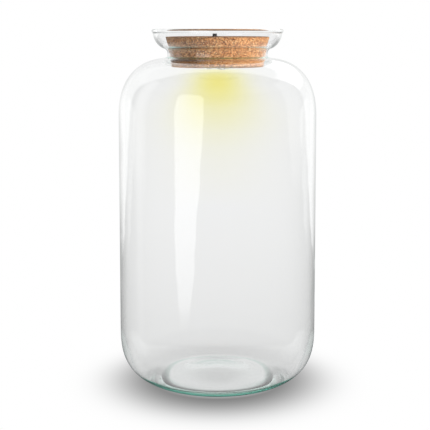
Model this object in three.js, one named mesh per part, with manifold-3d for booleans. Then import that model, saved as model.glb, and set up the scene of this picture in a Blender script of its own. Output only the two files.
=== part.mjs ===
// Glass terrarium jar with a cork stopper that carries a small battery lamp.
// Millimetres, +Z up. The origin is the centre of the foot ring, on the surface that the jar stands on.

import * as THREE from 'three';
import { mergeVertices } from 'three/addons/utils/BufferGeometryUtils.js';
import Module from 'manifold-3d';

const wasm = await Module();
wasm.setup();

// ---------------------------------------------------------------- driving dimensions

const JAR = {
  height: 430,
  bodyRadius: 118.4,
  wall: 3.2,
  // Heel, the round turn from the foot into the body: a superellipse cut off flat at the foot
  heelReach: 117,
  heelRise: 79,
  heelSink: 5,
  heelPower: 3.05,
  // Inside, the heel turns a little more squarely down to the lowest ring of the floor, for an even wall
  floorRingRadius: 74,
  floorRingZ: 9,
  innerHeelTopZ: 76,
  innerHeelPower: 2.3,
  // The bottom is pushed up into a dome, inside and below
  floorDomeZ: 18,
  footInnerRadius: 60,
  kickDepth: 8,
  // Shoulder, a superellipse from the body up to the neck
  shoulderZ: 324.3,
  shoulderRise: 71.9,
  shoulderReach: 64,
  shoulderPower: 2.42,
  shoulderWall: 3,
  neckRadius: 59.8,
  neckWall: 1.9,
  neckLowZ: 398.2,
  neckHighZ: 400.2,
  neckFilletRadius: 68.2, // where the neck's fillet meets the shoulder
  lipFilletRadius: 64.3, // and where it meets the lip
  // Lip, an open bowl above the neck that ends in a round bead
  lipCentreRadius: 58.9,
  lipCentreZ: 428.1,
  lipReach: 18.4,
  lipDrop: 22,
  lipWall: 2.6,
  rimRadius: 78.6,
  beadRadius: 2.3,
};

const SEAT_GAP = 0.3; // between pieces that touch or press on each other
const NECK_BORE = JAR.neckRadius - JAR.neckWall;
const SEAT_Z = JAR.neckHighZ + 0.6; // height at which the neck grips the cork
const TURNED_SIDES = 40; // sides of the large round pieces
const SMALL_SIDES = 20; // sides of the small round pieces
const FINE_SIDES = 12; // sides of screws, solder and holes
const LONG_STEPS = 8; // straight pieces along a long round turn of the glass
const SHORT_STEPS = 4; // and along a short one
const FILLET_STEPS = 3;
const FILLET_LEAN = 0.2; // share of a fillet's height at which it turns most sharply
const THROUGH = 1; // how far a cutting shape runs past the face that it opens

const CORK = {
  topZ: 420.7,
  bottomZ: 387.2,
  taper: 0.225, // radius lost for each millimetre down
  edge: 0.7, // worn edge
  recessRadius: 34.7,
  recessDepth: 18.2,
};
const RECESS_TOP_Z = CORK.bottomZ + CORK.recessDepth;

const PLATE = {
  radius: 34.4,
  bottomZ: CORK.bottomZ + 1.2,
  thickness: 2.4,
  edge: 0.4,
  screwCircle: 30.6,
  screwAngles: [-76, 154, 58],
  screwHoleRadius: 1.3,
  leadHole: { x: -0.65, y: -16.3, radius: 1.9 },
  ventHole: { x: -9.1, y: -18.9, radius: 0.75 },
  roundHole: { x: -8.8, y: 17.9, radius: 1.5 },
  slotHole: { x: -3.4, y: 19.5, radius: 1.1, length: 4.6, turn: -42 },
};
const PLATE_TOP_Z = PLATE.bottomZ + PLATE.thickness;

const SCREW = {
  headRadius: 1.8,
  headHeight: 1.1,
  shankRadius: 1,
  length: 8,
  crossWidth: 0.6,
  crossLength: 2.4,
  crossDepth: 0.6,
};

const HOUSING = {
  radius: 34.1,
  wall: 1.6,
  bottomZ: PLATE_TOP_Z + SEAT_GAP,
  topZ: RECESS_TOP_Z - SEAT_GAP,
  bossRadius: 2.6,
  bayTurn: -26, // degrees about Z, which keeps the bay's corners clear of the bosses
  bayWall: 1.2,
  bayBottomZ: PLATE_TOP_Z + 1.9, // leaves room below the cells for the leads
  leadHole: { along: 28.4, across: -3.6, radius: 2.6 },
};

const CELL = { radius: 5.25, length: 43.5, nubRadius: 1.9, nubLength: 1, pitch: 10.8, count: 3 };

const CONTACT = { thickness: 0.5, width: 8, height: 8, lift: 0.2 };

const SWITCH = {
  x: -3.3,
  size: 8.4,
  bodyHeight: 8.8,
  pocketRadius: 6.4,
  collarRadius: 3.6,
  collarTopZ: CORK.topZ + 0.8,
  boreBottomZ: 409.4,
  channelWidth: 6.4,
  channelHeight: 2.9,
};
const SWITCH_BOTTOM_Z = RECESS_TOP_Z;
const SWITCH_TOP_Z = SWITCH_BOTTOM_Z + SWITCH.bodyHeight;

const BUTTON = { radius: 2.6, bottomZ: 411.6, topZ: CORK.topZ + 4.5, edge: 0.4 };

const BOARD = { length: 31, width: 20.4, thickness: 1.8, x: 0, y: -0.8, turn: 5 };

const LED = {
  length: 3.5,
  width: 2.8,
  height: 1.3,
  edge: 0.3,
  places: [
    [-8.6, -10.2],
    [1.6, -9.4],
    [11.6, -7.1],
    [-11, 2.1],
    [9.1, 5.3],
  ],
};

const RESISTOR = { length: 0.9, width: 1.6, height: 0.55, edge: 0.1, place: [12.8, -0.5] };

const SOLDER_GAP = 0.1; // between what is soldered down and what it is soldered to
const SOLDER = {
  radius: 1.1,
  height: 0.8,
  sideHeight: 0.16, // where the dot's round back starts, and its shoulder
  shoulderRadius: 0.66,
  shoulderHeight: 0.6,
  places: [
    [3.3, -14.7],
    [6.8, -13.4],
  ],
};

const LEAD_RADIUS = 0.45;
const LEAD_SIDES = 6;
const LEAD_STEPS = { plus: 26, switched: 60, minus: 38 };

// ---------------------------------------------------------------- finishes

const FINISH = {
  glass: { color: 0xdfeee8, roughness: 0.02, metalness: 0, transparent: true, opacity: 0.35 },
  cork: { color: 0xc8955f, roughness: 0.9, metalness: 0 },
  milkyPlastic: { color: 0xe6e6e2, roughness: 0.45, metalness: 0 },
  whitePlastic: { color: 0xdedede, roughness: 0.5, metalness: 0 },
  whiteBoard: { color: 0xf6f5f0, roughness: 0.4, metalness: 0 },
  lightChip: { color: 0xf2ef4a, roughness: 0.35, metalness: 0 },
  chipGrey: { color: 0x8c8780, roughness: 0.5, metalness: 0 },
  bronze: { color: 0x8a5a30, roughness: 0.4, metalness: 0.8 },
  solder: { color: 0xa27a4a, roughness: 0.35, metalness: 0.7 },
  leadSkin: { color: 0xd8d8d4, roughness: 0.35, metalness: 0 },
  springMetal: { color: 0xb9bbbd, roughness: 0.35, metalness: 1 },
  cellSleeve: { color: 0x4d5a66, roughness: 0.45, metalness: 0.3 },
  blackPlastic: { color: 0x161616, roughness: 0.4, metalness: 0 },
};

// ---------------------------------------------------------------- helpers

const radians = THREE.MathUtils.degToRad;
const terrarium = new THREE.Group();

/** Adds one named piece to the object. */
function piece(name, geometry, finish) {
  const mesh = new THREE.Mesh(geometry, new THREE.MeshStandardMaterial(FINISH[finish]));
  mesh.name = name;
  terrarium.add(mesh);
  return mesh;
}

/** A closed geometry as a solid that can be joined and cut. */
function toSolid(geometry) {
  const bare = geometry.clone();
  bare.deleteAttribute('normal');
  bare.deleteAttribute('uv');
  const welded = mergeVertices(bare);
  const corners = welded.index.array;
  const triVerts = [];
  for (let i = 0; i < corners.length; i += 3) {
    const [a, b, c] = corners.slice(i, i + 3);
    if (a !== b && b !== c && c !== a) triVerts.push(a, b, c);
  }
  return new wasm.Manifold(
    new wasm.Mesh({
      numProp: 3,
      vertProperties: new Float32Array(welded.attributes.position.array),
      triVerts: new Uint32Array(triVerts),
    }),
  );
}

/** The first geometry with the joined ones added and then the cut ones taken away. */
function combine(first, joined, cut) {
  let solid = toSolid(first);
  for (const geometry of joined) solid = solid.add(toSolid(geometry));
  for (const geometry of cut) solid = solid.subtract(toSolid(geometry));
  const { vertProperties, triVerts } = solid.getMesh();
  const geometry = new THREE.BufferGeometry();
  geometry.setAttribute('position', new THREE.BufferAttribute(vertProperties, 3));
  geometry.setIndex(new THREE.BufferAttribute(triVerts, 1));
  geometry.computeVertexNormals();
  return geometry;
}

/** Turns a profile of [radius, z] points about the Z axis. */
function turned(profile, sides = SMALL_SIDES) {
  const points = profile.map(([radius, z]) => new THREE.Vector2(radius, z));
  return new THREE.LatheGeometry(points, sides).rotateX(Math.PI / 2);
}

/** An upright cylinder between two heights. */
function post(radius, lowZ, highZ, [x, y] = [0, 0], sides = SMALL_SIDES) {
  const profile = [
    [0, lowZ],
    [radius, lowZ],
    [radius, highZ],
    [0, highZ],
  ];
  return turned(profile, sides).translate(x, y, 0);
}

/** A box given by its sizes, its two heights and the centre of its plan. */
function block(length, width, lowZ, highZ, [x, y] = [0, 0]) {
  return new THREE.BoxGeometry(length, width, highZ - lowZ).translate(x, y, (lowZ + highZ) / 2);
}

/** Points on a superellipse about a centre, where angle 0 is its outer end and positive angles go up. */
function roundTurn(centre, reach, rise, power, startAngle, endAngle, steps) {
  const points = [];
  for (let i = 0; i <= steps; i++) {
    const angle = startAngle + ((endAngle - startAngle) * i) / steps;
    const across = Math.sign(Math.cos(angle)) * Math.abs(Math.cos(angle)) ** (2 / power);
    const up = Math.sign(Math.sin(angle)) * Math.abs(Math.sin(angle)) ** (2 / power);
    points.push([centre[0] + reach * across, centre[1] + rise * up]);
  }
  return points;
}

/** The angle at which such a curve is at a given share of its reach. */
const angleAtReach = (share, power) => Math.acos(share ** (power / 2));

/** The angle at which such a curve is at a given share of its rise. */
const angleAtRise = (share, power) => Math.asin(share ** (power / 2));

/** A fillet from the end of a round turn into the upright wall of the neck, which it meets at a height. */
function neckFillet([startRadius, startZ], wallRadius, wallZ) {
  const curve = new THREE.QuadraticBezierCurve(
    new THREE.Vector2(startRadius, startZ),
    new THREE.Vector2(wallRadius, startZ + (wallZ - startZ) * FILLET_LEAN),
    new THREE.Vector2(wallRadius, wallZ),
  );
  return curve.getPoints(FILLET_STEPS).map((point) => [point.x, point.y]);
}

/** A shallow dome from the axis to a radius, level at both ends. */
function dome(radius, edgeZ, topZ, steps) {
  const points = [];
  for (let i = 0; i <= steps; i++) {
    const share = i / steps;
    points.push([radius * share, edgeZ + ((topZ - edgeZ) * (1 + Math.cos(Math.PI * share))) / 2]);
  }
  return points;
}

// ---------------------------------------------------------------- glass jar

/** The centre of the rim bead's round section. */
const BEAD_CENTRE = [JAR.rimRadius - JAR.beadRadius, JAR.height - JAR.beadRadius];

/** The shoulder's turn, from the body up to the neck fillet, on the outer face or inset by the wall. */
function shoulderCurve(sideInset, topInset) {
  const centre = [JAR.bodyRadius - JAR.shoulderReach, JAR.shoulderZ];
  const reach = JAR.shoulderReach - sideInset;
  const rise = JAR.shoulderRise - topInset;
  const end = angleAtReach((JAR.neckFilletRadius - centre[0]) / reach, JAR.shoulderPower);
  return roundTurn(centre, reach, rise, JAR.shoulderPower, 0, end, LONG_STEPS);
}

/** The bowl of the lip, from the neck fillet up to the bead, on the outer face or inset by the wall. */
function lipCurve(inset) {
  const reach = JAR.lipReach - inset;
  const drop = JAR.lipDrop - inset;
  const start = -Math.acos((JAR.lipFilletRadius - JAR.lipCentreRadius) / reach);
  const side = JAR.lipCentreRadius + reach - BEAD_CENTRE[0];
  const meetZ = BEAD_CENTRE[1] - Math.sqrt(JAR.beadRadius ** 2 - side ** 2);
  const end = -Math.asin((JAR.lipCentreZ - meetZ) / drop);
  return roundTurn([JAR.lipCentreRadius, JAR.lipCentreZ], reach, drop, 2, start, end, SHORT_STEPS);
}

/** The rim bead, over its top, between the outer and the inner end of the lip. */
function rimBead(from, to) {
  const angleOf = ([radius, z]) => Math.atan2(z - BEAD_CENTRE[1], radius - BEAD_CENTRE[0]);
  const top = Math.PI / 2;
  const half = (start, end) =>
    roundTurn(BEAD_CENTRE, JAR.beadRadius, JAR.beadRadius, 2, start, end, SHORT_STEPS);
  return [...half(angleOf(from), top).slice(1), ...half(top, angleOf(to) + 2 * Math.PI).slice(1, -1)];
}

/** The outside of the glass, from the middle of its underside up to the rim bead. */
function jarOutside() {
  const kick = dome(JAR.footInnerRadius, 0, JAR.kickDepth, SHORT_STEPS);
  const heelCentre = [JAR.bodyRadius - JAR.heelReach, JAR.heelRise - JAR.heelSink];
  const footAngle = angleAtRise(heelCentre[1] / JAR.heelRise, JAR.heelPower);
  const heel = roundTurn(heelCentre, JAR.heelReach, JAR.heelRise, JAR.heelPower, -footAngle, 0, LONG_STEPS);
  const shoulder = shoulderCurve(0, 0);
  const shoulderEnd = shoulder.at(-1);
  const neckFoot = neckFillet(shoulderEnd, JAR.neckRadius, JAR.neckLowZ);
  const lip = lipCurve(0);
  const neckTop = neckFillet(lip[0], JAR.neckRadius, JAR.neckHighZ).reverse();
  return [...kick, ...heel, ...shoulder, ...neckFoot.slice(1), ...neckTop, ...lip.slice(1)];
}

/** The inside of the glass, from the rim bead down to the middle of the floor. */
function jarInside() {
  const lip = lipCurve(JAR.lipWall).reverse();
  const neckTop = neckFillet(lip.at(-1), NECK_BORE, SEAT_Z);
  const shoulder = shoulderCurve(JAR.wall, JAR.shoulderWall).reverse();
  const neckFoot = neckFillet(shoulder[0], NECK_BORE, JAR.neckLowZ).reverse();
  const heelReach = JAR.bodyRadius - JAR.wall - JAR.floorRingRadius;
  const heelDrop = JAR.innerHeelTopZ - JAR.floorRingZ;
  const heelCentre = [JAR.floorRingRadius, JAR.innerHeelTopZ];
  const heel = roundTurn(heelCentre, heelReach, heelDrop, JAR.innerHeelPower, 0, -Math.PI / 2, LONG_STEPS);
  const floor = dome(JAR.floorRingRadius, JAR.floorRingZ, JAR.floorDomeZ, SHORT_STEPS).reverse();
  return [...lip, ...neckTop.slice(1), ...neckFoot, ...shoulder.slice(1), ...heel, ...floor.slice(1)];
}

function glassJar() {
  const outside = jarOutside();
  const inside = jarInside();
  const profile = [...outside, ...rimBead(outside.at(-1), inside[0]), ...inside];
  piece('glass_jar', turned(profile, TURNED_SIDES), 'glass');
}

// ---------------------------------------------------------------- cork stopper

/** A shape made square to the object, turned to lie square to the battery bay. */
const turnToBay = (geometry) => geometry.rotateZ(radians(HOUSING.bayTurn));

/** A point of the battery bay's own plan, as a point of the object. */
function inBay(along, across, z) {
  const up = new THREE.Vector3(0, 0, 1);
  return new THREE.Vector3(along, across, z).applyAxisAngle(up, radians(HOUSING.bayTurn));
}

const corkRadius = (z) => NECK_BORE - SEAT_GAP + (z - SEAT_Z) * CORK.taper;

function corkStopper() {
  const { topZ, bottomZ, edge } = CORK;
  const blank = turned(
    [
      [0, bottomZ],
      [corkRadius(bottomZ) - edge, bottomZ],
      [corkRadius(bottomZ + edge), bottomZ + edge],
      [corkRadius(topZ - edge), topZ - edge],
      [corkRadius(topZ) - edge, topZ],
      [0, topZ],
    ],
    TURNED_SIDES,
  );
  const recess = post(CORK.recessRadius, bottomZ - THROUGH, RECESS_TOP_Z, [0, 0], TURNED_SIDES);
  const lowZ = RECESS_TOP_Z - THROUGH;
  const pocket = post(SWITCH.pocketRadius, lowZ, SWITCH_TOP_Z + SEAT_GAP, [SWITCH.x, 0]);
  const bore = post(SWITCH.collarRadius + SEAT_GAP, SWITCH_TOP_Z, topZ + THROUGH, [SWITCH.x, 0]);
  const channelLength = HOUSING.leadHole.along + HOUSING.leadHole.radius;
  const channelPlace = [channelLength / 2, HOUSING.leadHole.across / 2];
  const channelTopZ = RECESS_TOP_Z + SWITCH.channelHeight;
  const channel = block(channelLength, SWITCH.channelWidth, lowZ, channelTopZ, channelPlace);
  piece('cork_stopper', combine(blank, [], [recess, pocket, bore, turnToBay(channel)]), 'cork');
}

// ---------------------------------------------------------------- lamp housing and cells

/** Half the length and half the width of the battery bay, inside its walls. */
const BAY_HALF_LENGTH = (CELL.length + CELL.nubLength) / 2 + CONTACT.thickness + 2 * SEAT_GAP;
const BAY_HALF_WIDTH = (CELL.count * CELL.pitch) / 2;

function screwPlace(angle) {
  return [PLATE.screwCircle * Math.cos(radians(angle)), PLATE.screwCircle * Math.sin(radians(angle))];
}

function lampHousing() {
  const { radius, wall, bottomZ, topZ, bayWall, bayBottomZ } = HOUSING;
  const ceilingZ = topZ - wall;
  const cup = turned(
    [
      [0, ceilingZ],
      [radius - wall, ceilingZ],
      [radius - wall, bottomZ],
      [radius, bottomZ],
      [radius, topZ],
      [0, topZ],
    ],
    TURNED_SIDES,
  );
  const bayTopZ = topZ - wall / 2; // the bay's walls run into the ceiling, to be one piece with it
  const bosses = PLATE.screwAngles.map((angle) => post(HOUSING.bossRadius, bottomZ, topZ, screwPlace(angle)));
  const bayWalls = [-1, 1].flatMap((side) => {
    const sidePlace = [0, side * (BAY_HALF_WIDTH + bayWall / 2)];
    const endPlace = [side * (BAY_HALF_LENGTH + bayWall / 2), 0];
    return [
      turnToBay(block(2 * (BAY_HALF_LENGTH + bayWall), bayWall, bayBottomZ, bayTopZ, sidePlace)),
      turnToBay(block(bayWall, 2 * BAY_HALF_WIDTH + bayWall, bayBottomZ, bayTopZ, endPlace)),
    ];
  });
  const pilots = PLATE.screwAngles.map((angle) =>
    post(SCREW.shankRadius + SEAT_GAP, bottomZ - THROUGH, ceilingZ, screwPlace(angle), FINE_SIDES),
  );
  const { x, y } = inBay(HOUSING.leadHole.along, HOUSING.leadHole.across, 0);
  const outlet = post(HOUSING.leadHole.radius, ceilingZ - THROUGH, topZ + THROUGH, [x, y], FINE_SIDES);
  piece('lamp_housing', combine(cup, [...bosses, ...bayWalls], [...pilots, outlet]), 'whitePlastic');
}

function batteryCells() {
  const halfLength = (CELL.length + CELL.nubLength) / 2;
  const shoulderZ = halfLength - CELL.nubLength;
  const centreZ = HOUSING.bayBottomZ + CELL.radius;
  for (let i = 0; i < CELL.count; i++) {
    const cell = turned([
      [0, -halfLength],
      [CELL.radius, -halfLength],
      [CELL.radius, shoulderZ],
      [CELL.nubRadius, shoulderZ],
      [CELL.nubRadius, halfLength],
      [0, halfLength],
    ]);
    const mesh = piece(`battery_cell_${i + 1}`, cell, 'cellSleeve');
    const across = (i - (CELL.count - 1) / 2) * CELL.pitch;
    const facing = i % 2 === 0 ? 1 : -1; // neighbours lie head to tail
    mesh.rotation.set(0, (facing * Math.PI) / 2, radians(HOUSING.bayTurn), 'ZYX');
    mesh.position.copy(inBay(0, across, centreZ));
  }
}

function contacts() {
  const end = BAY_HALF_LENGTH - (SEAT_GAP + CONTACT.thickness) / 2;
  const linkWidth = CELL.pitch + CONTACT.width;
  const lowZ = HOUSING.bayBottomZ + CONTACT.lift;
  const plates = [
    ['contact_plus', end, -CELL.pitch, CONTACT.width],
    ['contact_link_1', end, CELL.pitch / 2, linkWidth],
    ['contact_link_2', -end, -CELL.pitch / 2, linkWidth],
    ['contact_minus', -end, CELL.pitch, CONTACT.width],
  ];
  for (const [name, along, across, width] of plates) {
    const plate = block(CONTACT.thickness, width, lowZ, lowZ + CONTACT.height, [along, across]);
    piece(name, turnToBay(plate), 'springMetal');
  }
}

// ---------------------------------------------------------------- lamp plate and what is on it

function lampPlate() {
  const { radius, bottomZ, edge } = PLATE;
  const [lowZ, highZ] = [bottomZ - THROUGH, PLATE_TOP_Z + THROUGH];
  const disc = turned(
    [
      [0, bottomZ],
      [radius - edge, bottomZ],
      [radius, bottomZ + edge],
      [radius, PLATE_TOP_Z],
      [0, PLATE_TOP_Z],
    ],
    TURNED_SIDES,
  );
  const hole = (holeRadius, place) => post(holeRadius, lowZ, highZ, place, FINE_SIDES);
  const roundHoles = [PLATE.leadHole, PLATE.ventHole, PLATE.roundHole].map(({ x, y, radius: holeRadius }) =>
    hole(holeRadius, [x, y]),
  );
  const screwHoles = PLATE.screwAngles.map((angle) => hole(PLATE.screwHoleRadius, screwPlace(angle)));
  const { x, y, radius: slotRadius, length, turn } = PLATE.slotHole;
  const slotHalf = length / 2 - slotRadius;
  const slot = [
    hole(slotRadius, [-slotHalf, 0]),
    hole(slotRadius, [slotHalf, 0]),
    block(2 * slotHalf, 2 * slotRadius, lowZ, highZ),
  ].map((shape) => shape.rotateZ(radians(turn)).translate(x, y, 0));
  piece('lamp_plate', combine(disc, [], [...roundHoles, ...screwHoles, ...slot]), 'milkyPlastic');
}

function plateScrews() {
  const { headRadius, headHeight, shankRadius, length, crossWidth, crossDepth, crossLength } = SCREW;
  const headTopZ = PLATE.bottomZ - SEAT_GAP;
  const headLowZ = headTopZ - headHeight;
  PLATE.screwAngles.forEach((angle, i) => {
    const screw = turned(
      [
        [0, headLowZ],
        [crossLength / 2, headLowZ],
        [headRadius, headTopZ - headHeight / 2],
        [headRadius, headTopZ],
        [shankRadius, headTopZ],
        [shankRadius, headTopZ + length - shankRadius],
        [0, headTopZ + length],
      ],
      FINE_SIDES,
    );
    const cross = [
      block(crossLength, crossWidth, headLowZ - THROUGH, headLowZ + crossDepth),
      block(crossWidth, crossLength, headLowZ - THROUGH, headLowZ + crossDepth),
    ];
    const [x, y] = screwPlace(angle);
    piece(`plate_screw_${i + 1}`, combine(screw, [], cross).translate(x, y, 0), 'bronze');
  });
}

/** Height of the light board's lower face, which the light chips stand on. */
const BOARD_FACE_Z = PLATE.bottomZ - SEAT_GAP - BOARD.thickness;

/** A small flat-backed body with bevelled edges that stands on the light board, centred on a point. */
function chip({ length, width, height, edge }, [x, y]) {
  const outline = new THREE.Shape();
  outline.moveTo(-length / 2 + edge, -width / 2 + edge);
  outline.lineTo(length / 2 - edge, -width / 2 + edge);
  outline.lineTo(length / 2 - edge, width / 2 - edge);
  outline.lineTo(-length / 2 + edge, width / 2 - edge);
  const body = new THREE.ExtrudeGeometry(outline, {
    depth: height - 2 * edge,
    bevelSize: edge,
    bevelThickness: edge,
    bevelSegments: 1,
  });
  return body.rotateZ(radians(BOARD.turn)).translate(x, y, BOARD_FACE_Z - SOLDER_GAP - height + edge);
}

function lightBoard() {
  const board = block(BOARD.length, BOARD.width, BOARD_FACE_Z, BOARD_FACE_Z + BOARD.thickness);
  piece('led_board', board.rotateZ(radians(BOARD.turn)).translate(BOARD.x, BOARD.y, 0), 'whiteBoard');
  LED.places.forEach((place, i) => piece(`led_${i + 1}`, chip(LED, place), 'lightChip'));
  piece('board_resistor', chip(RESISTOR, RESISTOR.place), 'chipGrey');
}

function solderDots() {
  const { radius, height, sideHeight, shoulderRadius, shoulderHeight, places } = SOLDER;
  const topZ = PLATE.bottomZ - SOLDER_GAP;
  places.forEach(([x, y], i) => {
    const dot = turned(
      [
        [0, topZ - height],
        [shoulderRadius, topZ - shoulderHeight],
        [radius, topZ - sideHeight],
        [radius, topZ],
        [0, topZ],
      ],
      FINE_SIDES,
    );
    piece(`solder_dot_${i + 1}`, dot.translate(x, y, 0), 'solder');
  });
}

// ---------------------------------------------------------------- switch

function pushSwitch() {
  const body = block(SWITCH.size, SWITCH.size, SWITCH_BOTTOM_Z, SWITCH_TOP_Z);
  const collar = post(SWITCH.collarRadius, SWITCH_TOP_Z - THROUGH, SWITCH.collarTopZ);
  const bore = post(BUTTON.radius + SEAT_GAP, SWITCH.boreBottomZ, SWITCH.collarTopZ + THROUGH);
  piece('switch_body', combine(body, [collar], [bore]).translate(SWITCH.x, 0, 0), 'blackPlastic');

  const { radius, bottomZ, topZ, edge } = BUTTON;
  const button = turned([
    [0, bottomZ],
    [radius, bottomZ],
    [radius, topZ - edge],
    [radius - edge, topZ],
    [0, topZ],
  ]);
  piece('switch_button', button.translate(SWITCH.x, 0, 0), 'blackPlastic');
}

// ---------------------------------------------------------------- leads

/** A round lead along a smooth route through the given points. */
function lead(name, route, steps) {
  const section = new THREE.Shape().absarc(0, 0, LEAD_RADIUS, 0, 2 * Math.PI);
  const tube = new THREE.ExtrudeGeometry(section, {
    extrudePath: new THREE.CatmullRomCurve3(route),
    steps,
    curveSegments: LEAD_SIDES / 2,
    bevelEnabled: false,
  });
  piece(name, tube, 'leadSkin');
}

function leads() {
  const channelZ = RECESS_TOP_Z + SWITCH.channelHeight / 2;
  const floorZ = (PLATE_TOP_Z + HOUSING.bayBottomZ) / 2;
  const switchSideX = SWITCH.x + SWITCH.size / 2 + SEAT_GAP;
  const { x: holeX, y: holeY } = PLATE.leadHole;
  const onPlate = (x, y, drop) => new THREE.Vector3(x, y, PLATE.bottomZ - drop);
  const [[innerX, innerY], [outerX, outerY]] = SOLDER.places;
  const endDrop = SOLDER_GAP + SOLDER.height + SEAT_GAP;

  // From the bay's first contact, up beside the bay and over the housing to the switch
  lead('lead_plus', [
    inBay(22.6, -10.8, floorZ),
    inBay(26.4, -10.6, floorZ),
    inBay(28.4, -8.6, floorZ + 2.4),
    inBay(28.8, -6.2, floorZ + 7),
    inBay(28.4, -4.8, floorZ + 12),
    inBay(26, -4.2, channelZ),
    inBay(14, -3, channelZ),
    new THREE.Vector3(switchSideX, -2.6, channelZ),
  ], LEAD_STEPS.plus);

  // From the switch back down beside the bay, under the cells, out of the plate and round to the outer dot
  lead('lead_switched', [
    new THREE.Vector3(switchSideX, 0.6, channelZ),
    inBay(14, -0.6, channelZ),
    inBay(26, -1.6, channelZ),
    inBay(28.7, -2.4, floorZ + 12),
    inBay(29.4, -1.6, floorZ + 7),
    inBay(28.4, 0.4, floorZ + 2.4),
    inBay(25.2, -1.4, floorZ),
    inBay(15, -10, floorZ),
    new THREE.Vector3(holeX + 4.4, holeY + 1.2, floorZ - 0.1),
    onPlate(holeX + 1, holeY - 0.5, -3),
    onPlate(holeX + 0.2, holeY - 0.75, -0.8),
    onPlate(holeX + 0.2, holeY - 1, 0.9),
    onPlate(holeX + 1.6, holeY - 5, 3),
    onPlate(holeX + 5.6, holeY - 7.4, 4.2),
    onPlate(holeX + 9.2, holeY - 4.4, 4),
    onPlate(outerX + 1, outerY - 1.8, 2.6),
    onPlate(outerX, outerY, endDrop),
  ], LEAD_STEPS.switched);

  // From the bay's last contact, under the cells and out of the plate to the inner dot
  lead('lead_minus', [
    inBay(-22.6, 10.8, floorZ),
    inBay(-12, -2, floorZ),
    new THREE.Vector3(holeX - 4.4, holeY + 4.2, floorZ - 0.1),
    onPlate(holeX - 1, holeY + 0.8, -3),
    onPlate(holeX - 0.2, holeY + 0.75, -0.8),
    onPlate(holeX - 0.1, holeY + 0.6, 0.9),
    onPlate(holeX + 1, holeY - 0.8, 2.6),
    onPlate(holeX + 2.9, holeY - 1, 3.2),
    onPlate(innerX + 0.2, innerY - 0.9, 2.5),
    onPlate(innerX, innerY, endDrop),
  ], LEAD_STEPS.minus);
}

glassJar();
corkStopper();
lampHousing();
batteryCells();
contacts();
lampPlate();
plateScrews();
lightBoard();
solderDots();
pushSwitch();
leads();

export default terrarium;
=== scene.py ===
# %% [markdown]
# # A glass terrarium jar with a lamp in its cork
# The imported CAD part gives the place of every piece, in metres, with +Z up and the jar standing on z = 0.
# This notebook builds the looks round it: blown glass, pressed cork, and the small lamp in the cork.

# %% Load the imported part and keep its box
import math

import bmesh
import bpy
from mathutils import Matrix, Vector, noise
from mathutils.bvhtree import BVHTree
from mathutils.interpolate import poly_3d_calc


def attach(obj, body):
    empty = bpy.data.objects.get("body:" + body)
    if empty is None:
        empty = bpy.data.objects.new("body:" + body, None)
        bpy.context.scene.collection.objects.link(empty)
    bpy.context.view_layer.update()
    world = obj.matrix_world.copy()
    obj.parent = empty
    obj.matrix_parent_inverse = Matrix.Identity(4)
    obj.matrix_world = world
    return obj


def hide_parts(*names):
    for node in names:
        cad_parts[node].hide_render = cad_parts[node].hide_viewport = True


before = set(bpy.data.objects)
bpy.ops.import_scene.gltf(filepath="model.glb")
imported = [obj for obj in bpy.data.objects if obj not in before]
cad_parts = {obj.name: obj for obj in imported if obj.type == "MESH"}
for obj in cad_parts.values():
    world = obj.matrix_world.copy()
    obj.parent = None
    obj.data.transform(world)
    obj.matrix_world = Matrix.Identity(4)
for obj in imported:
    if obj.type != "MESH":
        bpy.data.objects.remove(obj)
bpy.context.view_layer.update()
MM = 0.001

# %% [markdown]
# ## Camera
# The jar was photographed from a little below its rim with a long lens. The picture's horizon lies just
# under the rim, so the camera looks down by a few degrees, and a small lens shift takes up the rest: that
# keeps the sides of the jar nearly parallel, as they are in the picture.

# %% Place the camera
PICTURE_PIXELS = 430
SENSOR_MM = 36
FOCAL_PIXELS = 1204.3
CAMERA_PLACE = Vector((0, -1.4457, 0.42306))
LOOK_DOWN = 6.894  # degrees
camera_data = bpy.data.cameras.new("camera")
camera_data.lens = FOCAL_PIXELS * SENSOR_MM / PICTURE_PIXELS
camera_data.shift_x, camera_data.shift_y = -0.0058, -0.08
camera_data.clip_start = 0.05
camera = bpy.data.objects.new("camera", camera_data)
camera.location = CAMERA_PLACE
camera.rotation_euler = (math.radians(90 - LOOK_DOWN), 0, 0)
bpy.context.scene.collection.objects.link(camera)
bpy.context.scene.camera = camera
print("lens", round(camera_data.lens, 1), "mm")

# %% [markdown]
# ## Colour and light paths
# The photograph's background is pure white, so colours go straight to the screen without a film curve.
# Light is followed through many layers of glass. Caustics are left out: the glass lets lamps and soft light
# straight through to what stands behind it, which gives the same picture with far less noise.

# %% Set the colour handling and the light paths
scene = bpy.context.scene
scene.view_settings.view_transform = "Standard"
scene.view_settings.look = "None"
scene.cycles.max_bounces = 32
scene.cycles.transmission_bounces = 32
scene.cycles.glossy_bounces = 16
scene.cycles.transparent_max_bounces = 24
scene.cycles.caustics_reflective = False
scene.cycles.caustics_refractive = False
print("bounces:", scene.cycles.max_bounces)

# %% [markdown]
# ## Node sums as plain formulas
# A material here is a tree of nodes. A sum on a value that changes from point to point takes one node for
# each sign, and long lists of nodes are hard to read. So a node's output is wrapped as a Reading. Plus, times
# and the other signs on a Reading add the nodes, and each finish below reads as the formula that it is.

# %% Define how nodes are added and joined
def feed(node, inputs):
    """Join readings to a node's inputs and set the plain ones."""
    for name, value in inputs.items():
        if isinstance(value, Reading):
            value.tree.links.new(value.socket, node.inputs[name])
        else:
            node.inputs[name].default_value = value


def readings(tree, kind, outputs, inputs=None, **settings):
    """The named outputs of a new node, which has its own settings and inputs."""
    node = tree.nodes.new(kind)
    for name, value in settings.items():
        setattr(node, name, value)
    feed(node, inputs or {})
    return [Reading(tree, node.outputs[name]) for name in outputs]


def reading(tree, kind, output=0, inputs=None, **settings):
    """One output of a new node."""
    return readings(tree, kind, [output], inputs, **settings)[0]


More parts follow.
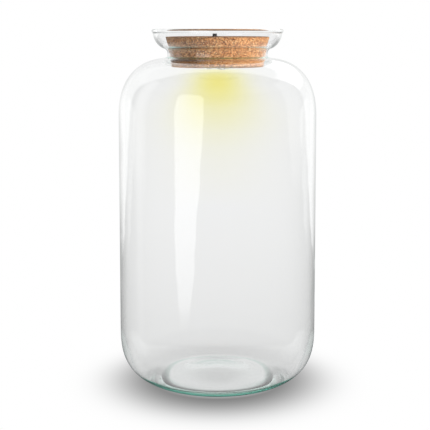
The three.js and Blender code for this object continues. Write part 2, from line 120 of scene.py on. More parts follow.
class Reading:
    """A value that a shader reads at each point. Sums on it add the nodes that they need."""

    def __init__(self, tree, socket):
        self.tree, self.socket = tree, socket

    def sum(self, operation, *others, clamp=False):
        """The result of one maths node on this value and any others."""
        inputs = dict(enumerate((self, *others)))
        return reading(self.tree, "ShaderNodeMath", 0, inputs, operation=operation, use_clamp=clamp)

    def __add__(self, other):
        return self.sum("ADD", other)

    def __sub__(self, other):
        return self.sum("SUBTRACT", other)

    def __rsub__(self, other):
        return self.sum("MULTIPLY_ADD", -1.0, other)

    def __mul__(self, other):
        return self.sum("MULTIPLY", other)

    def __truediv__(self, other):
        return self.sum("DIVIDE", other)

    def __pow__(self, other):
        return self.sum("POWER", other)

    def __gt__(self, other):
        return self.sum("GREATER_THAN", other)

    def __lt__(self, other):
        return self.sum("LESS_THAN", other)

    def at_least(self, other):
        """The larger of this value and another."""
        return self.sum("MAXIMUM", other)

    def rise(self, low, high):
        """0 below low, 1 above high and smooth between; low may be the larger number."""
        inputs = {"Value": self, "From Min": low, "From Max": high}
        return reading(self.tree, "ShaderNodeMapRange", "Result", inputs, interpolation_type="SMOOTHSTEP")

    def choose(self, first, second):
        """One number where this value is 0, another where it is 1, and a blend between."""
        inputs = {"Factor": self, 2: first, 3: second}
        return reading(self.tree, "ShaderNodeMix", 0, inputs, data_type="FLOAT")

    def ramp(self, stops):
        """Colours or numbers that go with this value, from (position, colour or number) stops."""
        node = self.tree.nodes.new("ShaderNodeValToRGB")
        feed(node, {"Fac": self})
        elements = node.color_ramp.elements
        while len(elements) < len(stops):
            elements.new(0.5)
        for element, (position, colour) in zip(elements, stops):
            element.position = position
            element.color = (*colour, 1) if isinstance(colour, tuple) else (colour, colour, colour, 1)
        return Reading(self.tree, node.outputs["Color"])

    def times_each(self, other):
        """This colour or place times another, part by part."""
        return reading(self.tree, "ShaderNodeVectorMath", "Vector", {0: self, 1: other}, operation="MULTIPLY")

    def split(self, axes="XYZ"):
        """The parts of this place or direction."""
        return readings(self.tree, "ShaderNodeSeparateXYZ", axes, {"Vector": self})

    def noise(self, scale, detail, output="Fac"):
        """Soft random noise at this place."""
        inputs = {"Vector": self, "Scale": scale, "Detail": detail}
        return reading(self.tree, "ShaderNodeTexNoise", output, inputs)

    def cells(self, scale, output, feature="F1"):
        """A pattern of random cells at this place."""
        inputs = {"Vector": self, "Scale": scale}
        return reading(self.tree, "ShaderNodeTexVoronoi", output, inputs, feature=feature)

    def bumps(self, strength, distance):
        """The normal of a face with this value as its height."""
        inputs = {"Strength": strength, "Distance": distance, "Height": self}
        return reading(self.tree, "ShaderNodeBump", "Normal", inputs)

    __radd__, __rmul__ = __add__, __mul__


# %% Define how materials are begun
def new_material(name, inputs):
    """A material whose Principled shader has these plain inputs; returns it with its tree and its shader."""
    material = bpy.data.materials.new(name)
    material.use_nodes = True
    shader = material.node_tree.nodes["Principled BSDF"]
    feed(shader, inputs)
    return material, material.node_tree, shader


def object_place(tree):
    """The place on the object, in metres."""
    return reading(tree, "ShaderNodeTexCoord", "Object")


def off_axis(place):
    """How far a place is from the jar's axis."""
    x, y = place.split("XY")
    return (x * x + y * y).sum("SQRT")


def from_screen(red, green, blue):
    """A colour as a screen shows it, 0 to 255, in the light values that shaders use."""
    shares = (c / 255 for c in (red, green, blue))
    return tuple(c / 12.92 if c < 0.04 else ((c + 0.055) / 1.055) ** 2.4 for c in shares)


# %% [markdown]
# ## The studio
# What clear glass shows is mostly the room round it: here soft boxes, a white sheet that hangs behind the
# jar and a dimmer room. They could be modelled as lamps and walls. The world does it with formulas instead,
# which give every ray that leaves the scene a tone by its bearing and height. Rays that come straight from
# the camera, or only through the glass, meet a white background. Reflected and scattered ones meet the
# studio.

# %% Read where each ray goes
world = bpy.data.worlds.new("studio")
scene.world = world
world.use_nodes = True
world_tree = world.node_tree
world_tree.nodes.clear()
rightward, backward, upward = reading(world_tree, "ShaderNodeTexCoord", "Generated").split()
bearing = rightward.sum("ARCTAN2", backward * -1).sum("DEGREES")  # 0 is the camera's side
height = upward.sum("ARCSINE").sum("DEGREES")
crossed, mirrored, scattered = readings(
    world_tree, "ShaderNodeLightPath", ("Transmission Depth", "Glossy Depth", "Diffuse Depth")
)
in_glass = crossed > 0.5
off_glass = 1.0 - in_glass
print("world nodes:", len(world_tree.nodes))

# %% Hang the soft boxes
def bent_side(side, bend_from, bend):
    """A side of a soft box: upright above a height, and bending over below it."""
    return (bend_from - height).at_least(0.0) ** 1.5 * bend + side


def rounded_top(left, right, high, corner):
    """1 inside a soft box and 0 in its cut-off top corners."""
    past_side = (left + corner - bearing).at_least(bearing + (corner - right)).at_least(0.0)
    past_top = (height + (corner - high)).at_least(0.0)
    distance = (past_side * past_side + past_top * past_top).sum("SQRT")
    return distance.rise(corner * 1.1, corner * 0.9)


def soft_box(left, right, low, high, edge, strength, corner=0):
    """A patch of light between two bearings and two heights, in degrees."""
    inside = rounded_top(left[0], right[0], high, corner) if corner else 1.0
    for past in (bearing - bent_side(*left), bent_side(*right) - bearing, height - low, high - height):
        inside = past.rise(-edge, edge) * inside
    return inside * strength


SOFT_BOXES = (  # left side, right side, low, high, edge, strength, corner
    ((-51, -9, 0.62), (-16, -2, -0.42), -13.7, 33, 1.2, 1.5, 11),  # front left: the long strip down the glass
    ((-113, 0, 0), (-91, 0, 0), -7, 40, 2.5, 0.35),  # left, beside the sheet
    ((-108, 0, 0), (-97, 0, 0), -30, 40, 2.5, 0.2),  # the same box's middle, which reaches further down
    ((88, -3, 1.4), (118, 0, -0.2), -6.2, 40, 2.0, 0.4),  # right, beside the sheet
)
soft_light = 0.0
for box in SOFT_BOXES:
    soft_light = soft_box(*box) + soft_light
soft_light = soft_light * (crossed < 2.5)  # the far wall doesn't show them again
print("soft boxes:", len(SOFT_BOXES))

# %% Hang the white sheet in a dimmer room
# The sheet hangs behind the jar, comes forward overhead and stops short of the table.
SHEET_EDGE = (  # upward, backward parts of the direction of its edge
    (-0.2, 0.95), (-0.16, 0.76), (-0.12, 0.66), (-0.06, 0.53), (0.25, 0.5), (0.4, 0.44), (0.6, 0.28),
    (0.75, 0.15), (0.95, 0.1),
)
ROOM = (  # height, tone
    (-90, 0.4), (-46.8, 0.45), (-28.8, 0.8), (-16.2, 0.45), (-9, 0.3), (0, 0.25), (90, 0.3),
)
sheet_edge = (upward * 0.5 + 0.5).ramp([((up + 1) / 2, back) for up, back in SHEET_EDGE])
sheet = (backward - sheet_edge).rise(-0.03, 0.03)
room = (height / 180 + 0.5).ramp([(degrees / 180 + 0.5, tone) for degrees, tone in ROOM])
table_inside = in_glass * height.rise(45.0, 10.0)  # the table, as the inside of the glass shows it
room = room.at_least(backward.rise(0.2, 0.6) * 0.55).at_least(table_inside * 0.62)

low_down = height.rise(0.0, -14.0)
sheet_light = backward.rise(0.75, 0.97) * (low_down * -0.4 - 0.32) + 1.2  # darker right behind the jar
rear_right = height.rise(15.0, 22.0) * height.rise(48.0, 40.0) * rightward.rise(0.02, 0.09) * off_glass
sheet_light = rear_right * 2.0 + sheet_light  # a brighter patch, up to the right
studio_light = sheet.choose(room + soft_light, sheet_light)
print("sheet edge points:", len(SHEET_EDGE))

# %% Give each kind of ray its light
let_out = (mirrored > 8.5) * backward.rise(0.4, 0.7)  # trapped in the wall until the glass let it out
studio_light = studio_light * (let_out * (low_down * 0.28 - 0.4) + 1.0)
shaded_table = off_glass * height.rise(-7.0, -17.0)  # what the heel mirrors is the jar's own shade
studio_light = studio_light * (shaded_table * -0.88 + 1.0)
diffused = scattered > 0.5
side_gain = rightward.rise(-0.7, 0.8) * 0.7 + 0.06  # cork and plastic are lit from the right
studio_light = studio_light * diffused.choose(1.0, side_gain)
background_tone = in_glass * -0.06 + 1.0  # the glass takes a little of it
tone = (mirrored > 0.5).at_least(diffused).choose(background_tone, studio_light)
background = reading(world_tree, "ShaderNodeBackground", 0, {"Color": (1, 1, 1, 1), "Strength": tone})
readings(world_tree, "ShaderNodeOutputWorld", [], {"Surface": background})
print("world nodes:", len(world_tree.nodes))

# %% [markdown]
# ## The table
# The white table can't be told from the background, except for the soft shade round the jar's foot. A white
# face under lamps would give that shade with much noise and never a pure white. So the table shines by
# itself, and its shade is a formula of the distance from the jar. Seen through the glass the shade is
# weaker, and the middle of the foot and the ring it stands on are darker. Reflections look through the table
# to the room, except close to the jar inside its glass.

# %% Lay the table
floor_mesh = bpy.data.meshes.new("table_top")
FLOOR_HALF = 4.0
corners = [(x * FLOOR_HALF, y * FLOOR_HALF, 0) for x, y in ((-1, -1), (1, -1), (1, 1), (-1, 1))]
floor_mesh.from_pydata(corners, [], [(0, 1, 2, 3)])
floor = bpy.data.objects.new("table_top", floor_mesh)
scene.collection.objects.link(floor)
print("table", 2 * FLOOR_HALF, "m wide")

# %% Shade the table round the jar
SHADE_HALF = (0.125, 0.15)  # across, and from front to back
SHADE_BACK = 0.01
floor_material = bpy.data.materials.new("white_table")
floor_material.use_nodes = True
floor_tree = floor_material.node_tree
floor_tree.nodes.clear()
floor_place = reading(floor_tree, "ShaderNodeNewGeometry", "Position")
floor_x, floor_y = floor_place.split("XY")
from_middle = off_axis(floor_place)
floor_crossed, floor_mirrored = readings(
    floor_tree, "ShaderNodeLightPath", ("Transmission Depth", "Glossy Depth")
)
through_glass = floor_crossed > 0.5

across = floor_x / SHADE_HALF[0]
along = (floor_y - SHADE_BACK) / SHADE_HALF[1]
outward = (across * across + along * along).sum("SQRT")
shade = (outward**4.3 * -1).sum("EXPONENT") * from_middle.rise(0.05, 0.08)
tone = shade * (through_glass * 0.6 - 0.85) + 1.0
near_jar = (from_middle / -0.6).sum("EXPONENT") * through_glass
tone = tone * (near_jar * -0.16 + 1.0) * (through_glass * -0.06 + 1.0)
under_floor = from_middle.rise(0.062, 0.052) * 0.1 + from_middle.rise(0.05, 0.015) * 0.2
touching = from_middle.rise(0.055, 0.066) * from_middle.rise(0.13, 0.08) * floor_y.rise(0.04, -0.03) * 0.85
tone = tone * (1.0 - (under_floor + touching) * through_glass)

close_by = through_glass * from_middle.rise(0.2, 0.15)
looks_through = (floor_mirrored > 0.5) * (1.0 - close_by)
table_light = reading(floor_tree, "ShaderNodeEmission", 0, {"Color": (1, 1, 1, 1), "Strength": tone})
floor_faces = {0: looks_through, 1: table_light, 2: reading(floor_tree, "ShaderNodeBsdfTransparent")}
floor_mix = reading(floor_tree, "ShaderNodeMixShader", 0, floor_faces)
readings(floor_tree, "ShaderNodeOutputMaterial", [], {"Surface": floor_mix})
floor_mesh.materials.append(floor_material)
print("table nodes:", len(floor_tree.nodes))

# %% [markdown]
# ## The glass jar
# A blown jar is round, so it is turned: a profile of radius and height swept about the upright axis. The
# profile is one closed line, up the outside, over the rim bead and down the inside, which gives the wall its
# true thickness everywhere. That matters more for glass than for anything else, because light bends at both
# faces of the wall.

# %% Define how turned pieces are made
def to_mesh(name, shape):
    """The bmesh as a mesh of its own."""
    mesh = bpy.data.meshes.new(name)
    shape.to_mesh(mesh)
    shape.free()
    return mesh


def link_piece(name, shape, material, sharp=None, body="root", nodes=None):
    """A mesh or bmesh as a piece of the object: it stands for its CAD nodes and rides on their body."""
    mesh = to_mesh(name, shape) if isinstance(shape, bmesh.types.BMesh) else shape
    nodes = nodes or [name]
    piece = bpy.data.objects.new(name, mesh)
    scene.collection.objects.link(piece)
    mesh.materials.append(material)
    mesh.shade_smooth()
    if sharp is not None:
        mesh.set_sharp_from_angle(angle=math.radians(sharp))
    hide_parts(*nodes)
    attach(piece, body)
    print(name, "-", len(mesh.polygons), "faces")
    return piece


def ring_of(shape, sides, place):
    """New points round a ring, each at the place that goes with its angle."""
    return [shape.verts.new(place(2 * math.pi * i / sides)) for i in range(sides)]


def turned_bmesh(profile, sides):
    """A (radius, z) profile in millimetres turned about the Z axis. Points on the axis become one point."""
    shape = bmesh.new()
    rings = []
    for radius, z in profile:
        if radius < 1e-6:
            rings.append([shape.verts.new((0, 0, z * MM))])
        else:
            reach = radius * MM
            rings.append(ring_of(shape, sides, lambda a: (reach * math.cos(a), reach * math.sin(a), z * MM)))
    for low, high in zip(rings, rings[1:]):
        for i in range(sides):
            j = (i + 1) % sides
            if len(low) == 1 and len(high) == 1:
                break
            if len(low) == 1:
                shape.faces.new((low[0], high[j], high[i]))
            elif len(high) == 1:
                shape.faces.new((low[i], low[j], high[0]))
            else:
                shape.faces.new((low[i], low[j], high[j], high[i]))
    bmesh.ops.recalc_face_normals(shape, faces=shape.faces)
    return shape


# %% Define the curves of a profile
def round_turn(centre, reach, rise, power, start, end, steps):
    """Points on a superellipse about a centre; angle 0 is its outer end and positive angles go up."""
    points = []
    for i in range(steps + 1):
        angle = start + (end - start) * i / steps
        cos, sin = math.cos(angle), math.sin(angle)
        across = math.copysign(abs(cos) ** (2 / power), cos)
        up = math.copysign(abs(sin) ** (2 / power), sin)
        points.append((centre[0] + reach * across, centre[1] + rise * up))
    return points


def soft_edge(radius, z, edge, start, end, steps):
    """A rounded edge that lies inside a radius, about a centre at z, between two angles in degrees."""
    return round_turn((radius - edge, z), edge, edge, 2, math.radians(start), math.radians(end), steps)


def fillet(start, wall_radius, wall_z, steps=12):
    """A soft turn from the end of a curve into the upright wall of the neck."""
    middle = (wall_radius, start[1] + (wall_z - start[1]) * 0.2)
    points = []
    for i in range(steps + 1):
        t = i / steps
        weights = ((1 - t) ** 2, 2 * t * (1 - t), t * t)
        ends = (start, middle, (wall_radius, wall_z))
        points.append(tuple(sum(w * e[k] for w, e in zip(weights, ends)) for k in (0, 1)))
    return points


def dome(radius, edge_z, top_z, steps=20):
    """A shallow dome from the axis out to a radius, level at both ends."""
    turns = [math.pi * i / steps for i in range(steps + 1)]
    return [(radius * turn / math.pi, edge_z + (top_z - edge_z) * (1 + math.cos(turn)) / 2) for turn in turns]


# %% Draw the jar's profile
JAR = {
    "height": 430, "body": 118.4, "wall": 3.2,
    "heel_reach": 117, "heel_rise": 79, "heel_sink": 5, "heel_power": 3.05,
    "floor_ring": 74, "floor_ring_z": 9, "inner_heel_z": 76, "inner_heel_power": 2.3, "dome_z": 18,
    "foot_inner": 60, "kick": 8,
    "shoulder_z": 324.3, "shoulder_rise": 71.9, "shoulder_reach": 64, "shoulder_power": 2.42,
    "shoulder_wall": 3, "neck": 59.8, "neck_wall": 1.9, "neck_low_z": 398.2, "neck_high_z": 400.2,
    "neck_fillet": 68.2, "lip_fillet": 64.3, "lip_centre": 58.9, "lip_centre_z": 428.1,
    "lip_reach": 18.4, "lip_drop": 22, "lip_wall": 2.6, "rim": 78.6, "bead": 2.3,
}
NECK_BORE = JAR["neck"] - JAR["neck_wall"]
SEAT_Z = JAR["neck_high_z"] + 0.6
BEAD_CENTRE = (JAR["rim"] - JAR["bead"], JAR["height"] - JAR["bead"])


def shoulder(side_inset, top_inset, steps=44):
    """The shoulder from the body up to the neck's fillet, inset from the outer face."""
    centre = (JAR["body"] - JAR["shoulder_reach"], JAR["shoulder_z"])
    reach, rise = JAR["shoulder_reach"] - side_inset, JAR["shoulder_rise"] - top_inset
    share = (JAR["neck_fillet"] - centre[0]) / reach
    end = math.acos(share ** (JAR["shoulder_power"] / 2))
    return round_turn(centre, reach, rise, JAR["shoulder_power"], 0, end, steps)


def lip(inset, steps=26):
    """The bowl of the lip from the neck's fillet up to the rim bead, inset from the outer face."""
    reach, drop = JAR["lip_reach"] - inset, JAR["lip_drop"] - inset
    centre = (JAR["lip_centre"], JAR["lip_centre_z"])
    start = -math.acos((JAR["lip_fillet"] - centre[0]) / reach)
    side = centre[0] + reach - BEAD_CENTRE[0]
    meet_z = BEAD_CENTRE[1] - math.sqrt(JAR["bead"] ** 2 - side**2)
    return round_turn(centre, reach, drop, 2, start, -math.asin((centre[1] - meet_z) / drop), steps)


def outer_face():
    """The profile from the middle of the foot up the outside to the rim bead."""
    heel_centre = (JAR["body"] - JAR["heel_reach"], JAR["heel_rise"] - JAR["heel_sink"])
    foot = math.asin((heel_centre[1] / JAR["heel_rise"]) ** (JAR["heel_power"] / 2))
    points = dome(JAR["foot_inner"], 0, JAR["kick"])
    points += round_turn(heel_centre, JAR["heel_reach"], JAR["heel_rise"], JAR["heel_power"], -foot, 0, 60)
    points += shoulder(0, 0)
    points += fillet(points[-1], JAR["neck"], JAR["neck_low_z"])[1:]
    outer_lip = lip(0)
    return points + fillet(outer_lip[0], JAR["neck"], JAR["neck_high_z"])[::-1] + outer_lip[1:]


def inner_face():
    """The profile from the rim bead down the inside to the middle of the floor."""
    points = lip(JAR["lip_wall"])[::-1]
    points += fillet(points[-1], NECK_BORE, SEAT_Z)[1:]
    inner_shoulder = shoulder(JAR["wall"], JAR["shoulder_wall"])[::-1]
    points += fillet(inner_shoulder[0], NECK_BORE, JAR["neck_low_z"])[::-1] + inner_shoulder[1:]
    reach = JAR["body"] - JAR["wall"] - JAR["floor_ring"]
    centre = (JAR["floor_ring"], JAR["inner_heel_z"])
    drop = JAR["inner_heel_z"] - JAR["floor_ring_z"]
    points += round_turn(centre, reach, drop, JAR["inner_heel_power"], 0, -math.pi / 2, 40)
    return points + dome(JAR["floor_ring"], JAR["floor_ring_z"], JAR["dome_z"])[::-1][1:]


def rim_bead(start_point, end_point):
    """The bead over the top of the rim, between the ends of the two faces but without them."""
    start, end = (
        math.atan2(z - BEAD_CENTRE[1], radius - BEAD_CENTRE[0]) for radius, z in (start_point, end_point)
    )
    turns = ((start, math.pi / 2), (math.pi / 2, end + 2 * math.pi))
    outside, inside = (round_turn(BEAD_CENTRE, JAR["bead"], JAR["bead"], 2, a, b, 10) for a, b in turns)
    return outside[1:] + inside[1:-1]


outer, inner = outer_face(), inner_face()
jar_profile = outer + rim_bead(outer[-1], inner[0]) + inner
print("jar profile:", len(jar_profile), "points, up to", max(z for _, z in jar_profile), "mm")

# %% Turn the jar
JAR_SIDES = 256
GLASS_INDEX = 1.5
glass, glass_tree, glass_shader = new_material(
    "clear_glass",
    {
        "Base Color": (1, 1, 1, 1), "Roughness": 0.0, "IOR": GLASS_INDEX,
        "Transmission Weight": 1.0, "Metallic": 0.0,
    },
)
jar = link_piece("jar", turned_bmesh(jar_profile, JAR_SIDES), glass, nodes=["glass_jar"])

# %% [markdown]
# ## Clear glass
# The faint green of bottle glass lies in its depth, so it comes from an absorption in the volume: it shows
# most where the line of sight runs a long way inside the wall. The picture's heel, foot ring and the ring
# under the neck are greener than that alone gives, so their surface is tinted as well, the heel only where
# it is seen edge on. Blown walls are never quite even, which a very weak, broad ripple stands for.

# %% Make the glass
GREEN_TINT = (0.06, 0.5, 0.34)
HEEL_SHADE_TINT = (0.42, 0.5, 0.52)  # painted shade: the fine dark line along the heel, where it mirrors the dark table round the jar
DEPTH_GREEN, DEPTH_STRENGTH = (0.5, 0.86, 0.76, 1), 2.5
glass_place = object_place(glass_tree)
(glass_z,) = glass_place.split("Z")
from_axis = off_axis(glass_place)
facing = reading(glass_tree, "ShaderNodeLayerWeight", "Facing", {"Blend": 0.5})
feed(glass_shader, {"Normal": glass_place.noise(14.0, 1.0).bumps(0.06, 0.01)})

foot_ring = glass_z.rise(0.005, 0.002) * from_axis.rise(0.057, 0.061) * from_axis.rise(0.069, 0.064)
between_faces = glass_z * 1.79 + 0.07  # a cone that parts the heel's outer face from its inner one
outer_only = (from_axis - between_faces).rise(-0.001, 0.001)
edge_on = facing.rise(0.55, 0.8) * glass_z.rise(0.042, 0.022) * outer_only
neck_ring = glass_z.rise(0.3938, 0.3948) * glass_z.rise(0.3974, 0.3964) * from_axis.rise(0.066, 0.0635)
greened = (foot_ring * 0.5).at_least(edge_on).at_least(neck_ring * 0.7)
# painted shade: low down, the heel is darkened where it is seen edge on, for the dark table that it mirrors
painted_heel_shade = facing.rise(0.8, 0.95) * glass_z.rise(0.08, 0.03)
green = greened.ramp(((0.0, 1.0), (1.0, GREEN_TINT)))
# the glass's own green, times the painted shade along the heel
tint = green.times_each(painted_heel_shade.ramp(((0.0, 1.0), (1.0, HEEL_SHADE_TINT))))
print("glass nodes:", len(glass_tree.nodes))

# %% Let soft light and trapped rays straight through
shadow_ray, diffuse_ray, glass_mirrored, glass_crossed, ray_length = readings(
    glass_tree,
    "ShaderNodeLightPath",
    ("Is Shadow Ray", "Is Diffuse Ray", "Glossy Depth", "Transmission Depth", "Ray Length"),
)
lets_through = shadow_ray.at_least(diffuse_ray).at_least(glass_mirrored > 8.5)
see_through = reading(glass_tree, "ShaderNodeBsdfTransparent")
glass_faces = {0: lets_through, 1: Reading(glass_tree, glass_shader.outputs[0]), 2: see_through}
depth_green = {"Color": DEPTH_GREEN, "Density": DEPTH_STRENGTH}
depth = reading(glass_tree, "ShaderNodeVolumeAbsorption", 0, depth_green)
glass_mix = reading(glass_tree, "ShaderNodeMixShader", 0, glass_faces)
feed(glass_tree.nodes["Material Output"], {"Surface": glass_mix, "Volume": depth})
print("glass nodes:", len(glass_tree.nodes))

# %% [markdown]
# ## The lamp's glow
# The picture shows the lamp lit: a soft yellow cloud hangs below the cork and fades downwards. It is light
# and no piece of the jar. A thin volume could carry it, but a volume needs a body of its own in the scene.
# Here the far wall of the glass takes the glow on, and only for a ray that came straight across the jar. The
# ray's length tells how near the middle it passed: where a ray through the middle is W long inside, one of
# length L passed sqrt(W * W - L * L) / 2 off the middle. W is found by following sight lines through the
# wall. They start at the camera's place, so the glow is truest from about the height of the picture.

# %% Follow sight lines across the jar
SIGHT_LINES = 32
AIM_LOW, AIM_HIGH = 0.2155, 0.3835  # heights on the jar's axis
jar_points = [vertex.co for vertex in jar.data.vertices]
walls = BVHTree.FromPolygons(jar_points, [tuple(face.vertices) for face in jar.data.polygons])


def rounded_normal(face, place):
    """The jar's smooth normal at a place on one of its faces."""
    face_corners = [jar.data.vertices[i] for i in jar.data.polygons[face].vertices]
    shares = poly_3d_calc([corner.co for corner in face_corners], place)
    return sum((share * corner.normal for share, corner in zip(shares, face_corners)), Vector()).normalized()


def bent_ray(ray, normal, ratio):
    """A ray's direction past a face, for the ratio of the refractive indices before and after it."""
    against = -ray.dot(normal)
    if against < 0:
        normal, against = -normal, -against
    return ratio * ray + (ratio * against - math.sqrt(1 - ratio**2 * (1 - against**2))) * normal


def sight_line(aim):
    """The height at which a line of sight meets the far wall, and its length inside the jar."""
    clear_of_edges, past_face = 0.0005, 0.00001
    place = CAMERA_PLACE
    ray = (Vector((clear_of_edges, 0, aim)) - place).normalized()
    for ratio in (1 / GLASS_INDEX, GLASS_INDEX):
        place, _, face, _ = walls.ray_cast(place, ray)
        ray = bent_ray(ray, rounded_normal(face, place), ratio)
        place = place + ray * past_face
    far_place, _, _, length = walls.ray_cast(place, ray)
    return far_place.z, length


# The stops lie closer together towards the top, where the shoulder curves in.
last = SIGHT_LINES - 1
aims = [AIM_HIGH - (AIM_HIGH - AIM_LOW) * (1 - i / last) ** 2 for i in range(SIGHT_LINES)]
sight_lines = [sight_line(aim) for aim in aims]
print("far wall from", round(sight_lines[0][0], 4), "to", round(sight_lines[-1][0], 4), "m")

# %% Paint the lamp's glow into the colour of the far wall
GLOW_STRENGTH = (  # height on the far wall, strength
    (0.2, 0.0), (0.26, 0.09), (0.277, 0.135), (0.297, 0.245), (0.329, 0.57), (0.3615, 1.26), (0.368, 1.26),
    (0.371, 1.22), (0.377, 1.0), (0.3805, 0.69), (0.384, 0.62), (0.3857, 0.45), (0.3875, 0.0),
)
GLOW_SPREAD = (  # height on the far wall, spread to each side
    (0.2, 0.054), (0.287, 0.054), (0.308, 0.0525), (0.318, 0.05), (0.329, 0.046), (0.362, 0.0294),
    (0.3875, 0.027),
)
GLOW_LOW, GLOW_HIGH = sight_lines[0][0], sight_lines[-1][0]


def along_height(rows):
    """A measure that changes with the height on the far wall, from (height, measure) rows."""
    most = max(measure for _, measure in rows)
    stops = [((z - GLOW_LOW) / (GLOW_HIGH - GLOW_LOW), measure / most) for z, measure in rows]
    share = (glass_z - GLOW_LOW) / (GLOW_HIGH - GLOW_LOW)
    return share.ramp(stops) * most


across_middle, strength, spread = (along_height(rows) for rows in (sight_lines, GLOW_STRENGTH, GLOW_SPREAD))
off_middle = (across_middle * across_middle - ray_length * ray_length).at_least(0.0) / 4  # squared
# painted light: the lamp's glow, painted into the far wall's colour where a ray crossed near the jar's middle
painted_glow = strength * (off_middle * -1 / (spread * spread)).sum("EXPONENT")
painted_glow = painted_glow * (glass_crossed > 1.5) * (glass_crossed < 2.5) * (glass_mirrored < 0.5)
glow_parts = {0: 1.0, 1: painted_glow * -0.13 + 1.0, 2: (painted_glow * -2.0).sum("EXPONENT")}  # white loses mostly blue
glow_colour = reading(glass_tree, "ShaderNodeCombineColor", 0, glow_parts)
feed(glass_shader, {"Base Color": tint.times_each(glow_colour)})
print("glow stops:", len(GLOW_STRENGTH), "glass nodes:", len(glass_tree.nodes))

# %% [markdown]
# ## The cork
# The stopper is pressed from cork granules and turned to a taper. Its face is broken up in two ways: the
# larger pits and the joints between granules are cut into the mesh, and the fine grain is a bump in the
# material. The recess for the lamp is part of the turned profile; the pocket and bore of the switch and the
# channel of its leads are cut out afterwards.

# %% Define how pieces are carved
def carve(name, shape, cutters, joined=()):
    """The shape with others joined to it and the cutters taken out, as a mesh. It uses up all the bmeshes."""
    body = bpy.data.objects.new(name, to_mesh(name, shape))
    scene.collection.objects.link(body)
    helpers = [body]
    steps = [("UNION", tool) for tool in joined] + [("DIFFERENCE", tool) for tool in cutters]
    for i, (operation, tool_shape) in enumerate(steps):
        tool = bpy.data.objects.new(f"tool_{i}", to_mesh(f"tool_{i}", tool_shape))
        scene.collection.objects.link(tool)
        modifier = body.modifiers.new(f"step_{i}", "BOOLEAN")
        modifier.operation, modifier.solver, modifier.object = operation, "EXACT", tool
        helpers.append(tool)
    carved = bpy.data.meshes.new_from_object(body.evaluated_get(bpy.context.evaluated_depsgraph_get()))
    for helper in helpers:
        bpy.data.objects.remove(helper)
    carved.name = name
    return carved


def moved(shape, x=0.0, y=0.0, turn=0.0):
    """The bmesh turned about Z by degrees and then moved by millimetres."""
    matrix = Matrix.Translation((x * MM, y * MM, 0)) @ Matrix.Rotation(math.radians(turn), 4, "Z")
    bmesh.ops.transform(shape, matrix=matrix, verts=shape.verts)
    return shape


def post(radius, low, high, x=0.0, y=0.0, sides=64):
    """A plain round cutter."""
    return moved(turned_bmesh([(0, low), (radius, low), (radius, high), (0, high)], sides), x, y)


def rounded_block(length, width, low, high, edge=0, segments=3):
    """A block about the Z axis, with softened edges if an edge is given."""
    shape = bmesh.new()
    size = Vector((length, width, high - low)) * MM
    matrix = Matrix.Translation((0, 0, (low + high) / 2 * MM)) @ Matrix.Diagonal((*size, 1))
    bmesh.ops.create_cube(shape, size=1, matrix=matrix)
    if edge:
        edges = list(shape.edges)
        bmesh.ops.bevel(shape, geom=edges, offset=edge * MM, segments=segments, profile=0.5, affect="EDGES")
    return shape


# %% Draw the cork
CORK = {
    "top": 420.7, "bottom": 387.2, "taper": 0.225, "clear": 0.3, "edge": 0.9, "top_ring": 6,
    "recess": 34.7, "recess_top": 405.4, "recess_edge": 0.4, "sides": 420, "step": 0.9,
}
SWITCH = {"x": -3.3, "size": 8.4, "top": 414.2, "pocket": 6.4, "collar": 3.6, "collar_top": 421.5}
BUTTON = {"radius": 2.6, "low": 411.6, "high": 425.2, "edge": 0.4, "low_edge": 0.3}
CHANNEL = {"length": 31, "width": 6.4, "depth": 2.9, "x": 15.5, "y": -1.8}
BAY_TURN = -26


def cork_radius(z):
    """The tapered side's radius at a height."""
    return NECK_BORE - CORK["clear"] + (z - SEAT_Z) * CORK["taper"]


def straight_run(start, end, step):
    """Points from start up to, but not at, end."""
    count = max(1, round(math.dist(start, end) / step))
    return [tuple(a + (b - a) * i / count for a, b in zip(start, end)) for i in range(count)]


def cork_profile():
    """The profile from the top of the recess, down and round the bottom, up the side and over the top."""
    edge, step, recess, recess_edge = (CORK[key] for key in ("edge", "step", "recess", "recess_edge"))
    low, high, top_ring = CORK["bottom"], CORK["top"], CORK["top_ring"]
    low_turn = soft_edge(cork_radius(low + edge), low + edge, edge, -90, 0, 4)
    high_turn = soft_edge(cork_radius(high - edge), high - edge, edge, 0, 90, 4)
    points = [(0, CORK["recess_top"]), (recess, CORK["recess_top"])]
    points += straight_run((recess, CORK["recess_top"] - 1), (recess, low + recess_edge), 3)
    points += straight_run((recess + recess_edge, low), low_turn[0], step)
    points += low_turn[:-1] + straight_run(low_turn[-1], high_turn[0], step)
    points += high_turn[:-1] + straight_run(high_turn[-1], (top_ring, high), step)
    return points + [(top_ring, high), (0, high)]


def granule_dip(place):
    """How far the cork's face lies below its turned shape at a place, in millimetres."""
    granule_size, pit_spacing, patch_size = 2.8, 4.6, 9
    joint_depth, pit_depth, patch_depth = 0.08, 0.35, 0.06
    near = noise.voronoi(place / (granule_size * MM))[0]
    joint = max(0.0, 1 - (near[1] - near[0]) / 0.3)
    pit_near = noise.voronoi(place / (pit_spacing * MM) + Vector((7, 3, 1)))[0]
    pit = max(0.0, 1 - pit_near[0] / 0.24)
    unevenness = 0.5 + 0.5 * noise.noise(place / (patch_size * MM))
    return joint_depth * joint + pit_depth * pit * unevenness + patch_depth * unevenness


# %% Turn and carve the cork
cork_shape = turned_bmesh(cork_profile(), CORK["sides"])
cork_shape.normal_update()
dips = []
for vert in cork_shape.verts:
    outward = vert.co.xy.length / MM > CORK["recess"] + 0.6 or vert.co.z / MM > CORK["top"] - 1
    dips.append(granule_dip(vert.co) * MM if outward else 0.0)
for vert, dip in zip(cork_shape.verts, dips):
    vert.co -= vert.normal * dip

